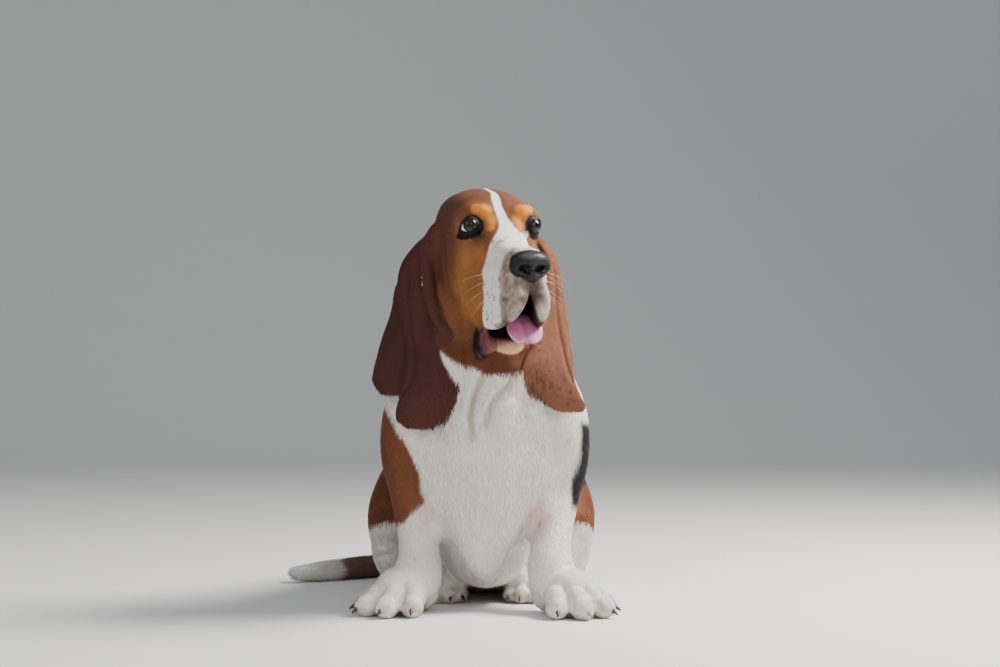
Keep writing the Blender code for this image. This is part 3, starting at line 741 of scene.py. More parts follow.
@dataclass(frozen=True)
class Ears:
    """Both ears: their lobes and the roll along the front edge of the right one."""

    right: tuple[Lobe, ...] = (
        Lobe((
            (-0.072, 0.038, 0.5, 0.006, 0.005, -50), (-0.088, 0.034, 0.48, 0.012, 0.0055, -40),
            (-0.099, 0.028, 0.456, 0.017, 0.005, -30), (-0.099, 0.019, 0.422, 0.021, 0.004, -25),
            (-0.086, 0.009, 0.389, 0.028, 0.0036, -20), (-0.069, -0.006, 0.356, 0.036, 0.0034, -12),
            (-0.068, -0.016, 0.317, 0.038, 0.0032, -6), (-0.077, -0.02, 0.278, 0.0395, 0.0032, -4),
            (-0.085, -0.02, 0.252, 0.034, 0.0032, -4), (-0.084, -0.02, 0.237, 0.018, 0.0026, -4),
        )),
        Lobe((
            (-0.099, 0.036, 0.468, 0.003, 0.0018, -55), (-0.106, 0.035, 0.45, 0.009, 0.003, -55),
            (-0.112, 0.034, 0.429, 0.015, 0.0036, -55), (-0.114, 0.032, 0.396, 0.02, 0.0034, -50),
            (-0.117, 0.026, 0.363, 0.029, 0.0034, -42), (-0.119, 0.014, 0.33, 0.035, 0.0034, -36),
            (-0.1235, 0.008, 0.301, 0.034, 0.0034, -34), (-0.121, 0.006, 0.281, 0.02, 0.0028, -34),
        )),
    )
    roll: tuple[Row, ...] = (
        (-0.069, 0.026, 0.498, 0.006, 0.006), (-0.077, 0.018, 0.484, 0.0085, 0.008),
        (-0.0775, 0.012, 0.464, 0.0095, 0.008), (-0.0755, 0.003, 0.434, 0.0098, 0.008),
        (-0.0715, -0.006, 0.408, 0.009, 0.0075), (-0.062, -0.013, 0.382, 0.0075, 0.006),
        (-0.05, -0.017, 0.359, 0.005, 0.0045),
    )
    left: tuple[Lobe, ...] = (
        Lobe((
            (0.06, 0.066, 0.5, 0.008, 0.006, 60), (0.078, 0.062, 0.484, 0.013, 0.007, 58),
            (0.088, 0.058, 0.462, 0.015, 0.0068, 55), (0.091, 0.048, 0.43, 0.018, 0.0056, 48),
            (0.0915, 0.03, 0.389, 0.0245, 0.0042, 38), (0.0885, 0.012, 0.356, 0.03, 0.0036, 28),
            (0.084, -0.008, 0.323, 0.035, 0.0034, 20), (0.0915, -0.014, 0.29, 0.035, 0.0032, 10),
            (0.106, -0.014, 0.27, 0.03, 0.0032, 4), (0.114, -0.014, 0.258, 0.016, 0.0026, 0),
        )),
        Lobe((
            (0.089, 0.062, 0.468, 0.003, 0.0018, 70), (0.095, 0.059, 0.448, 0.007, 0.0034, 70),
            (0.1, 0.054, 0.424, 0.0095, 0.004, 70), (0.1035, 0.044, 0.39, 0.0125, 0.0036, 66),
            (0.108, 0.032, 0.357, 0.014, 0.0034, 60), (0.1105, 0.02, 0.327, 0.014, 0.0034, 50),
            (0.114, 0.01, 0.303, 0.008, 0.0028, 45),
        )),
    )

    def lay(self, clay: Clay) -> None:
        """Adds both ears to the clay."""
        for lobe in (*self.right, *self.left):
            lobe.lay(clay)
        clay.limb(self.roll)


@dataclass(frozen=True)
class Zone:
    """A stretch of the body with its own coat.

    The stretch is a round bar from one end to the other. The lie of the coat runs from one direction to
    another along it. Sizes of the coat are in millimetres, and its closeness in tufts a square millimetre.
    """

    start: Row
    end: Row
    radius: float
    lie: Row
    lie_end: Row
    coat: Coat
    length: float
    width: float
    lift: float
    close: float
    depth: float
    in_head: bool = False
    paired: bool = True


def zones() -> list[Zone]:
    """The stretches of the body, from the nose to the tip of the tail.

    The shoulders' tufts go with the flanks and the haunches' with the back, so that no mesh grows too large.
    """
    face, crown, ears, neck, chest = Coat.FACE, Coat.CROWN, Coat.EARS, Coat.NECK, Coat.CHEST
    back, flanks, fore, hind, tail = Coat.BACK, Coat.FLANKS, Coat.FORELEGS, Coat.HIND, Coat.TAIL
    head = {"in_head": True}
    lone = {"paired": False}
    return [
        Zone((0.138, 0, -0.004), (0.06, 0, 0.01), 0.02, (-1, 0, 0.2), (-1, 0, 0.3), face,
             3.0, 0.8, 0.1, 0.5, 0.6, **head, **lone),
        Zone((0.128, 0.02, -0.05), (0.08, 0.034, -0.06), 0.012, (-0.7, 0.2, -0.7), (-0.7, 0.2, -0.7), face,
             3.2, 0.8, 0.1, 0.5, 0.6, **head),
        Zone((0.06, 0.036, -0.05), (0.01, 0.046, -0.08), 0.014, (-0.6, 0, -0.8), (-0.6, 0, -0.8), face,
             5.0, 1.0, 0.1, 0.4, 0.8, **head),
        Zone((0.05, 0.026, 0.05), (0.03, 0.03, 0.065), 0.014, (-0.6, 0.5, 0.6), (-1, 0.1, 0.3), face,
             3.6, 0.8, 0.12, 0.5, 0.7, **head),
        Zone((0.02, 0.05, 0.01), (-0.03, 0.058, 0.0), 0.014, (-0.9, 0, -0.4), (-0.8, 0, -0.6), face,
             4.5, 0.9, 0.1, 0.4, 0.8, **head),
        Zone((0.02, 0, 0.06), (-0.08, 0, 0.05), 0.034, (-1, 0, 0.1), (-1, 0, -0.6), crown,
             5.0, 1.0, 0.1, 0.36, 1.0, **head, **lone),
        Zone((0.085, 0, -0.118), (0.0, 0, -0.1), 0.014, (-1, 0, 0), (-1, 0, -0.3), face,
             4.0, 0.9, 0.12, 0.4, 0.8, **head, **lone),
        Zone((-0.05, 0.035, -0.02), (-0.07, 0.02, -0.07), 0.034, (-0.8, 0, -0.6), (-0.6, 0, -0.8), crown,
             7.0, 1.2, 0.1, 0.28, 1.2, **head),
        *(Zone(start, end, reach, (0, 0, -1), (0, 0, -1), ears, 4.0, 1.0, 0.1, 0.34, 0.5, **lone)
          for start, end, reach in (
              ((-0.094, 0.028, 0.47), (-0.08, -0.012, 0.34), 0.014),
              ((-0.08, -0.012, 0.34), (-0.08, -0.02, 0.25), 0.014),
              ((-0.114, 0.032, 0.4), (-0.12, 0.008, 0.3), 0.01),
              ((0.088, 0.058, 0.47), (0.09, 0.01, 0.35), 0.014),
              ((0.09, 0.01, 0.35), (0.108, -0.014, 0.262), 0.014))),
        Zone((0.04, 0.075, 0.42), (0.062, 0.1, 0.33), 0.04, (0, 0.5, -0.9), (0, 0.4, -0.9), neck,
             9.0, 1.4, 0.1, 0.2, 1.6),
        Zone((0.0, 0.01, 0.38), (0.0, -0.01, 0.3), 0.03, (0, 0.1, -1), (0, 0, -1), neck,
             9.0, 1.4, 0.12, 0.22, 1.6, **lone),
        Zone((0.03, 0.004, 0.27), (0.022, 0.012, 0.13), 0.04, (0, 0, -1), (0, 0.1, -1), chest,
             13.0, 1.6, 0.12, 0.18, 2.4),
        Zone((0.0, 0.02, 0.11), (0.002, 0.034, 0.05), 0.026, (0, 0.1, -1), (0, 0.4, -1), chest,
             12.0, 1.5, 0.16, 0.18, 2.2, **lone),
        Zone((0.0, 0.11, 0.36), (0.0, 0.25, 0.25), 0.06, (0, 0.7, -0.2), (0, 0.7, -0.6), back,
             12.0, 1.7, 0.08, 0.14, 2.4, **lone),
        Zone((0.0, 0.25, 0.25), (0.0, 0.44, 0.09), 0.06, (0, 0.7, -0.6), (0, 0.5, -0.9), back,
             12.0, 1.7, 0.08, 0.14, 2.4, **lone),
        Zone((0.07, 0.12, 0.24), (0.08, 0.26, 0.15), 0.05, (0, 0.6, -0.8), (0, 0.6, -0.8), flanks,
             12.0, 1.7, 0.08, 0.14, 2.4),
        Zone((0.0, 0.1, 0.05), (0.0, 0.3, 0.04), 0.04, (0, 1, -0.2), (0, 1, -0.1), flanks,
             11.0, 1.6, 0.1, 0.12, 2.0, **lone),
        Zone((0.098, 0.062, 0.26), (0.098, 0.052, 0.19), 0.034, (0, 0.2, -1), (0, 0.1, -1), flanks,
             11.0, 1.5, 0.1, 0.18, 2.0),
        Zone((0.093, 0.054, 0.15), (0.087, 0.022, 0.08), 0.028, (0, 0.1, -1), (0, -0.1, -1), fore,
             7.0, 1.2, 0.1, 0.26, 1.2),
        Zone((0.088, 0.004, 0.05), (0.1, -0.01, 0.03), 0.026, (0, -0.4, -1), (0.5, -0.8, -0.4), fore,
             5.0, 1.0, 0.1, 0.36, 0.8),
        Zone((0.104, -0.03, 0.02), (0.12, -0.056, 0.016), 0.016, (0.4, -0.9, -0.3), (0.4, -0.9, -0.4), fore,
             4.0, 0.9, 0.12, 0.42, 0.6),
        Zone((0.085, 0.39, 0.13), (0.11, 0.32, 0.11), 0.048, (0, 0, -1), (0, -0.3, -1), back,
             11.0, 1.6, 0.08, 0.15, 2.2),
        Zone((0.128, 0.27, 0.09), (0.128, 0.3, 0.05), 0.03, (0, -0.2, -1), (0, 0.2, -1), hind,
             9.0, 1.4, 0.08, 0.18, 1.8),
        Zone((0.112, 0.33, 0.018), (0.064, 0.19, 0.02), 0.018, (0, -1, -0.2), (-0.2, -1, -0.1), hind,
             6.0, 1.1, 0.1, 0.26, 1.0),
        Zone((0.052, 0.15, 0.02), (0.052, 0.108, 0.014), 0.018, (0, -1, -0.1), (0, -1, -0.3), hind,
             4.5, 0.9, 0.12, 0.36, 0.7),
        Zone((0.004, 0.46, 0.05), (-0.082, 0.498, 0.022), 0.02, (-0.4, 0.4, -0.4), (-1, 0, 0), tail,
             13.0, 1.5, 0.14, 0.2, 1.8, **lone),
        Zone((-0.082, 0.498, 0.022), (-0.165, 0.445, 0.017), 0.018, (-0.9, -0.3, 0), (-0.8, -0.6, 0), tail,
             14.0, 1.5, 0.16, 0.2, 1.8, **lone),
        Zone((-0.165, 0.445, 0.017), (-0.282, 0.358, 0.014), 0.014, (-0.8, -0.6, 0), (-0.8, -0.6, 0), tail,
             14.0, 1.5, 0.18, 0.22, 1.6, **lone),
    ]


@dataclass
class Lie:
    """What the coat does at a set of places: its direction, sizes and the mesh it belongs to."""

    way: np.ndarray
    length: np.ndarray
    width: np.ndarray
    lift: np.ndarray
    close: np.ndarray
    depth: np.ndarray
    coat: np.ndarray


class CoatMap:
    """Blends the zones over the body."""

    BLEND = 0.01
    FIELDS = ("length", "width", "lift", "close", "depth")

    def __init__(self) -> None:
        """Lays out the zones of both sides in the dog's space."""
        self.ends: list[tuple[np.ndarray, np.ndarray]] = []
        self.ways: list[tuple[np.ndarray, np.ndarray]] = []
        self.radii: list[float] = []
        self.values: list[list[float]] = []
        self.coats: list[Coat] = []
        for zone in zones():
            for side in (Side if zone.paired else (Side.LEFT,)):
                flip = np.array([1, side.value, 1] if zone.in_head else [side.value, 1, 1])
                place = HEAD if zone.in_head else np.eye(4)
                a, b = (moved(place, np.array(p) * flip) for p in (zone.start, zone.end))
                u, v = (unit(np.array(p, dtype=float) * flip @ place[:3, :3].T) for p in (zone.lie, zone.lie_end))
                self.ends.append((a, b))
                self.ways.append((u, v))
                self.radii.append(zone.radius)
                self.values.append([getattr(zone, name) for name in self.FIELDS])
                self.coats.append(zone.coat)

    def at(self, points: np.ndarray) -> Lie:
        """The coat at a set of places.

        Args:
            points: Rows in the dog's space.

        Returns:
            The blended values, in metres where they are lengths.
        """
        away = np.empty((len(self.ends), len(points)))
        along = np.empty_like(away)
        for i, (a, b) in enumerate(self.ends):
            away[i], along[i] = path_distance(points, np.stack([a, b]))
            away[i] -= self.radii[i]
        nearest = away.argmin(axis=0)
        weight = np.exp(-(away - away.min(axis=0)) / self.BLEND)
        weight /= weight.sum(axis=0)
        way = np.zeros((len(points), 3))
        for i, (u, v) in enumerate(self.ways):
            way += weight[i][:, None] * (u + along[i][:, None] * (v - u))
        values = weight.T @ np.array(self.values)
        length, width, lift, close, depth = values.T
        order = {coat: i for i, coat in enumerate(Coat)}
        coat = np.array([order[c] for c in self.coats])[nearest]
        return Lie(way, length * MM, width * MM, lift, close, depth * MM, coat)


@dataclass(frozen=True)
class Stroke:
    """A groove or a ridge worked into the skin along a path.

    Height is in millimetres, below zero for a groove. It fades over the reach to each side, and towards the ends
    of the path where they are open. From the front, only the distance across and up counts.
    """

    path: tuple[Row, ...]
    height: float
    reach: float
    in_head: bool = True
    paired: bool = False
    fade: float = 0.25
    front: bool = False

    def apply(self, web: Web, normals: np.ndarray) -> None:
        """Moves the skin.

        Args:
            web: The skin, in the dog's space.
            normals: Its outward directions.
        """
        for side in (Side if self.paired else (Side.LEFT,)):
            flip = np.array([1, side.value, 1] if self.in_head else [side.value, 1, 1])
            path = moved(HEAD if self.in_head else np.eye(4), curve(self.path, 5) * flip)
            reach = self.reach * MM
            room = np.array([3 * reach, 0.05 if self.front else 3 * reach, 3 * reach])
            low, high = path.min(axis=0) - room, path.max(axis=0) + room
            near = np.flatnonzero(((web.points > low) & (web.points < high)).all(axis=1))
            counts = np.array([1, 0 if self.front else 1, 1])
            away, along = path_distance(web.points[near] * counts, path * counts)
            ends = ramp(np.minimum(along, 1 - along), 0, self.fade) if self.fade else 1.0
            push = self.height * MM * np.exp(-(away / reach) ** 2) * ends
            if self.front:
                push = push * ramp(normals[near, 1], -0.15, -0.5)
            web.points[near] += normals[near] * push[:, None]


@dataclass(frozen=True)
class Lids:
    """The eye's opening on its ball, and how the skin rises round it.

    The opening is a closed line of (outward, up) points in units of the eyeball's radius. The outer corner droops.
    """

    edge: tuple[Row, ...] = (
        (0.86, -0.38), (0.74, 0.1), (0.52, 0.44), (0.16, 0.68), (-0.25, 0.76), (-0.6, 0.62),
        (-0.82, 0.3), (-0.87, -0.08), (-0.72, -0.42), (-0.3, -0.6), (0.22, -0.64), (0.6, -0.58),
    )
    # The bare black skin round the opening, seen along the eye's own axis
    patch: tuple[Row, ...] = (
        (1.42, -1.3), (1.22, -0.74), (0.94, 0.23), (0.51, 0.86), (0.08, 1.16), (-0.52, 1.2), (-1.02, 0.9),
        (-1.45, 0.4), (-1.62, -0.15), (-1.48, -0.74), (-1.15, -1.15), (-0.46, -1.36), (0.5, -1.5),
    )
    centre: tuple[float, float] = (-0.02, 0.02)
    rim: float = 0.5 * MM
    roll: float = 2.3 * MM
    roll_reach: float = 2.2 * MM
    sunk: float = -1.6 * MM
    blend: float = 9 * MM

    def outline(self, count: int = 72) -> np.ndarray:
        """The edge as a smooth closed line of (outward, up) points."""
        line = curve(self.edge, 16, closed=True) - self.centre
        angle = np.unwrap(np.arctan2(line[:, 1], line[:, 0]))
        angles = angle[0] + TAU * np.arange(count) / count
        size = np.hypot(*line.T)
        reach = np.interp(angles, np.append(angle, angle[0] + TAU), np.append(size, size[0]))
        return np.stack([np.cos(angles) * reach, np.sin(angles) * reach], axis=1) + self.centre

    def beyond(self, outward: np.ndarray, up: np.ndarray, of_patch: bool = False) -> np.ndarray:
        """How far places lie outside the edge, or the patch, in radii, below zero inside it."""
        line = curve(self.patch if of_patch else self.edge, 16, closed=True) - self.centre
        angle = np.unwrap(np.arctan2(line[:, 1], line[:, 0]))
        order = np.argsort(angle % TAU)
        around = np.arctan2(up - self.centre[1], outward - self.centre[0]) % TAU
        edge = np.interp(around, (angle % TAU)[order], np.hypot(*line.T)[order], period=TAU)
        return np.hypot(outward - self.centre[0], up - self.centre[1]) - edge

    def shape(self, web: Web, side: Side) -> None:
        """Opens the lids in the skin round one eye.

        Args:
            web: The skin, in the dog's space.
            side: Which eye.
        """
        place = EYES.place(side)
        local = moved(np.linalg.inv(place), web.points)
        away = np.linalg.norm(local, axis=1)
        near = np.flatnonzero((away < 0.034) & (local[:, 0] > -0.004))
        p, away = local[near], away[near]
        toward = p / away[:, None]
        beyond = self.beyond(side.value * toward[:, 1], toward[:, 2]) * EYES.radius
        rise = self.rim + (self.roll - self.rim) * ramp(beyond, 0, self.roll_reach)
        rise = np.where(beyond < 0, self.sunk + (self.rim - self.sunk) * ramp(beyond, -0.9 * MM, 0), rise)
        hold = ramp(beyond, self.blend, 1.5 * MM) * ramp(toward[:, 0], 0.02, 0.3)
        fresh = away + (EYES.radius + rise - away) * hold
        web.points[near] = moved(place, toward * fresh[:, None])


LIDS = Lids()


STROKES: tuple[Stroke, ...] = (
    # Brow over the inner half of each eye, and the furrow between the brows
    Stroke(((0.047, 0.05, 0.05), (0.055, 0.038, 0.057), (0.059, 0.026, 0.054), (0.062, 0.018, 0.042)),
           2.6, 6.5, paired=True, fade=0.3),
    Stroke(((0.044, 0.058, 0.046), (0.053, 0.048, 0.051), (0.058, 0.035, 0.047), (0.06, 0.027, 0.038)),
           -1.6, 2.6, paired=True, fade=0.3),
    Stroke(((0.066, 0, 0.032), (0.058, 0, 0.048), (0.04, 0, 0.068), (0.015, 0, 0.08), (-0.03, 0, 0.08)),
           -1.8, 7.0, fade=0.3),
    # Pouch under the eye and the hollow below it
    Stroke(((0.04, 0.059, 0.018), (0.052, 0.051, 0.013), (0.06, 0.04, 0.013), (0.066, 0.03, 0.02)),
           1.4, 4.0, paired=True, fade=0.3),
    Stroke(((0.036, 0.06, 0.008), (0.052, 0.052, 0.004), (0.064, 0.04, 0.006)), -1.2, 3.2, paired=True, fade=0.3),
    # Loose folds of the cheek, from beside the ear to the corner of the mouth
    Stroke(((0.004, 0.062, 0.014), (0.004, 0.0625, -0.012), (0.008, 0.061, -0.036), (0.014, 0.056, -0.064)),
           -2.6, 3.0, paired=True, fade=0.2),
    Stroke(((0.014, 0.061, 0.006), (0.015, 0.061, -0.024), (0.019, 0.057, -0.05), (0.026, 0.052, -0.076)),
           1.6, 4.0, paired=True, fade=0.3),
    Stroke(((0.024, 0.06, -0.02), (0.028, 0.056, -0.046), (0.036, 0.051, -0.072), (0.044, 0.045, -0.094)),
           -1.6, 2.8, paired=True, fade=0.3),
    Stroke(((0.034, 0.056, -0.04), (0.038, 0.051, -0.062), (0.046, 0.046, -0.084)), 1.2, 3.6, paired=True, fade=0.3),
    Stroke(((0.02, 0.055, -0.07), (0.032, 0.048, -0.092), (0.04, 0.042, -0.112)), -2.2, 2.6, paired=True, fade=0.3),
    # Crease of the muzzle from the stop towards the lip
    Stroke(((0.066, 0.033, 0.012), (0.07, 0.037, -0.012), (0.068, 0.041, -0.04)), -1.4, 6.0, paired=True, fade=0.4),
    # Folds of the loose lip at the right corner of the mouth
    Stroke(((0.058, -0.0385, -0.098), (0.062, -0.0395, -0.112), (0.063, -0.038, -0.128)), -2.6, 2.4, fade=0.2),
    Stroke(((0.072, -0.0345, -0.1), (0.075, -0.0345, -0.114), (0.074, -0.032, -0.126)), -2.2, 2.4, fade=0.2),
    # Groove behind the roll of the right ear
    Stroke(((-0.084, 0.016, 0.478), (-0.088, 0.008, 0.455), (-0.086, -0.001, 0.43), (-0.081, -0.009, 0.405),
            (-0.07, -0.013, 0.38)), -3.6, 3.2, False, fade=0.2),
    # Room behind the nose leather for its nostrils
    Stroke(((0.141, -0.016, -0.014), (0.142, 0, -0.012), (0.141, 0.016, -0.014)), -7.0, 9.0, fade=0),
    # Groove down the lip below the nose
    Stroke(((0.142, 0, -0.034), (0.139, 0, -0.046), (0.134, 0, -0.058)), -1.6, 1.6, fade=0.1),
    # Folds of the throat and the chest
    Stroke(((-0.011, -0.03, 0.322), (-0.02, -0.03, 0.292), (-0.025, -0.03, 0.262)), 2.6, 4.5, False, front=True),
    Stroke(((0.0032, -0.03, 0.325), (-0.006, -0.03, 0.3), (-0.0149, -0.03, 0.279), (-0.0188, -0.03, 0.253),
            (-0.016, -0.03, 0.232)), -5.5, 4.0, False, front=True),
    Stroke(((0.021, -0.03, 0.318), (0.008, -0.03, 0.288), (-0.004, -0.03, 0.256)), 4.0, 6.5, False, front=True),
    Stroke(((0.042, -0.03, 0.314), (0.0265, -0.03, 0.293), (0.0097, -0.03, 0.275), (0.002, -0.03, 0.25)),
           -4.5, 4.0, False, front=True),
    Stroke(((0.038, -0.03, 0.285), (0.024, -0.03, 0.255), (0.018, -0.03, 0.225)), 3.0, 8.0, False, front=True),
)


class Skin:
    """The one surface over head, neck, trunk, legs, tail and ears."""

    VOXEL = 0.0022
    TRUNK_ROUNDS = 70
    HEAD_ROUNDS = 8
    ALL_ROUNDS = 4
    KEPT_SHARE = 0.46

    def __init__(self, coat_map: CoatMap) -> None:
        """Keeps the coat map, whose depth the skin lies below the solids."""
        self.coat_map = coat_map
        self.web = self.fuse()

    def fuse(self) -> Web:
        """All forms of the body as one surface."""
        clay = Clay()
        Trunk().lay(clay)
        for side in Side:
            Foreleg().lay(clay, side)
            HindLeg().lay(clay, side)
        Tail().lay(clay)
        Skull().lay(clay)
        Ears().lay(clay)
        return fused(clay.mesh("heap"), self.VOXEL)

    def softness(self) -> tuple[np.ndarray, np.ndarray]:
        """How far each point is smoothed: as trunk, and as trunk or head."""
        p = self.web.points
        small = np.zeros(len(p))
        for side in Side:
            for x, y in ((0.11, -0.03), (0.06, 0.13)):
                away = np.linalg.norm(p - (side.value * x, y, 0.02), axis=1)
                small = np.maximum(small, ramp(away, 0.1, 0.07))
        small = np.maximum(small, np.where(p[:, 2] < 0.06, ramp(p[:, 0], -0.1, -0.15), 0))
        for lobe in (*Ears().right, *Ears().left):
            away, _ = path_distance(p, np.array(lobe.stations)[:, :3])
            small = np.maximum(small, 0.75 * ramp(away, 0.048, 0.04))
        away = np.linalg.norm(p - moved(HEAD, np.array([0.045, 0, -0.02])), axis=1)
        head = ramp(away, 0.15, 0.115)
        return 1 - np.maximum(small, head), 1 - small

    def shape(self) -> None:
        """Smooths, sinks, refines and models the surface."""
        web = self.web
        trunk, both = self.softness()
        web.relax(1.0, self.ALL_ROUNDS)
        web.relax(both, self.HEAD_ROUNDS)
        web.relax(trunk, self.TRUNK_ROUNDS)
        web.points -= web.normals() * self.coat_map.at(web.points).depth[:, None]
        self.refine_face()
        normals = web.normals()
        for lobe in (*Ears().right, *Ears().left):
            lobe.undercut(web, normals)
        for stroke in STROKES:
            stroke.apply(web, normals)
        for side in Side:
            for leg, wide in ((Foreleg(), 4.2), (HindLeg(), 3.2)):
                for path in leg.toes.gaps(leg.heel(side), side):
                    Stroke(path, -4.5, wide, in_head=False, fade=0.1).apply(web, normals)
            LIDS.shape(web, side)
        self.thin()
        web.points[:, 2] = np.maximum(web.points[:, 2], 0.6 * MM)

    def refine_face(self) -> None:
        """Makes the mesh finer on the face, and finer again round the eyes and the lips."""
        web = self.web
        local = moved(FROM_HEAD, web.points)
        front = np.linalg.norm((local - (0.075, 0, -0.035)) / (0.09, 0.075, 0.105), axis=1) < 1
        web.refine(front)
        for side in Side:
            away = np.linalg.norm(moved(np.linalg.inv(EYES.place(side)), web.points), axis=1)
            web.refine(away < 0.026)
        local = moved(FROM_HEAD, web.points)
        face = ramp(np.linalg.norm((local - (0.075, 0, -0.035)) / (0.095, 0.08, 0.11), axis=1), 1.0, 0.9)
        web.relax(face, 2)

    def thin(self) -> None:
        """Collapses the trunk, where tufts hide the mesh, and keeps the face."""
        local = moved(FROM_HEAD, self.web.points)
        away = np.linalg.norm((local - (0.075, 0, -0.035)) / (0.105, 0.09, 0.12), axis=1)
        self.web.thin(self.KEPT_SHARE, ramp(away, 0.9, 1.3))

    def build(self, markings: "Markings", finish: bpy.types.Material) -> bpy.types.Object:
        """Makes the skin's object, which stands for all nodes of flesh.

        Args:
            markings: The rule of colours.
            finish: The material of skin.

        Returns:
            The object.
        """
        mesh = Web(self.web.points + SHIFT, self.web.triangles).mesh("skin")
        set_colours(mesh, markings.at(self.web.points))
        piece = placed("skin", mesh, finish)
        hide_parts("head", "neck", "torso", "foreleg_right", "foreleg_left", "hindleg_right", "hindleg_left",
                    "tail", "ear_right", "ear_left")
        return piece


def tone(red: float, green: float, blue: float) -> np.ndarray:
    """A display colour, 0 to 255 a channel, as linear light."""
    c = np.array([red, green, blue]) / 255
    return np.where(c <= 0.04045, c / 12.92, ((c + 0.055) / 1.055) ** 2.4)


def dye(red: int, green: int, blue: int) -> np.ndarray:
    """A field of a frozen record that holds one tone."""
    return field(default_factory=lambda: tone(red, green, blue))


@dataclass(frozen=True)
class Palette:
    """Colours of the coat and the bare skin, some of them with painted light or shade."""

    white: np.ndarray = dye(232, 226, 216)
    tan: np.ndarray = dye(114, 69, 44)
    temple: np.ndarray = dye(84, 49, 34)
    gold: np.ndarray = dye(206, 130, 42)
    cheek: np.ndarray = dye(148, 95, 48)
    ear: np.ndarray = dye(72, 40, 32)
    # painted light: a lighter copy of the ear tone for the left ear, as if lit
    ear_light: np.ndarray = dye(128, 80, 56)
    ear_inner: np.ndarray = dye(122, 78, 58)
    throat: np.ndarray = dye(92, 50, 28)
    saddle: np.ndarray = dye(26, 23, 25)
    patch: np.ndarray = dye(112, 66, 42)
    # painted shade for the creases of the white chest
    crease_shade: np.ndarray = dye(158, 134, 114)
    rim: np.ndarray = dye(11, 8, 10)
    mouth: np.ndarray = dye(50, 20, 22)
    lip: np.ndarray = dye(26, 17, 19)
    chin: np.ndarray = dye(206, 170, 132)
    gum: np.ndarray = dye(150, 96, 88)
    tick: np.ndarray = dye(118, 84, 68)
    # brownish hair on the front of the muzzle, with painted shade in it
    muzzle_hair_and_shade: np.ndarray = dye(120, 90, 72)
    lip_shade: np.ndarray = dye(70, 56, 52)
    pink: np.ndarray = dye(200, 150, 130)


PALETTE = Palette()


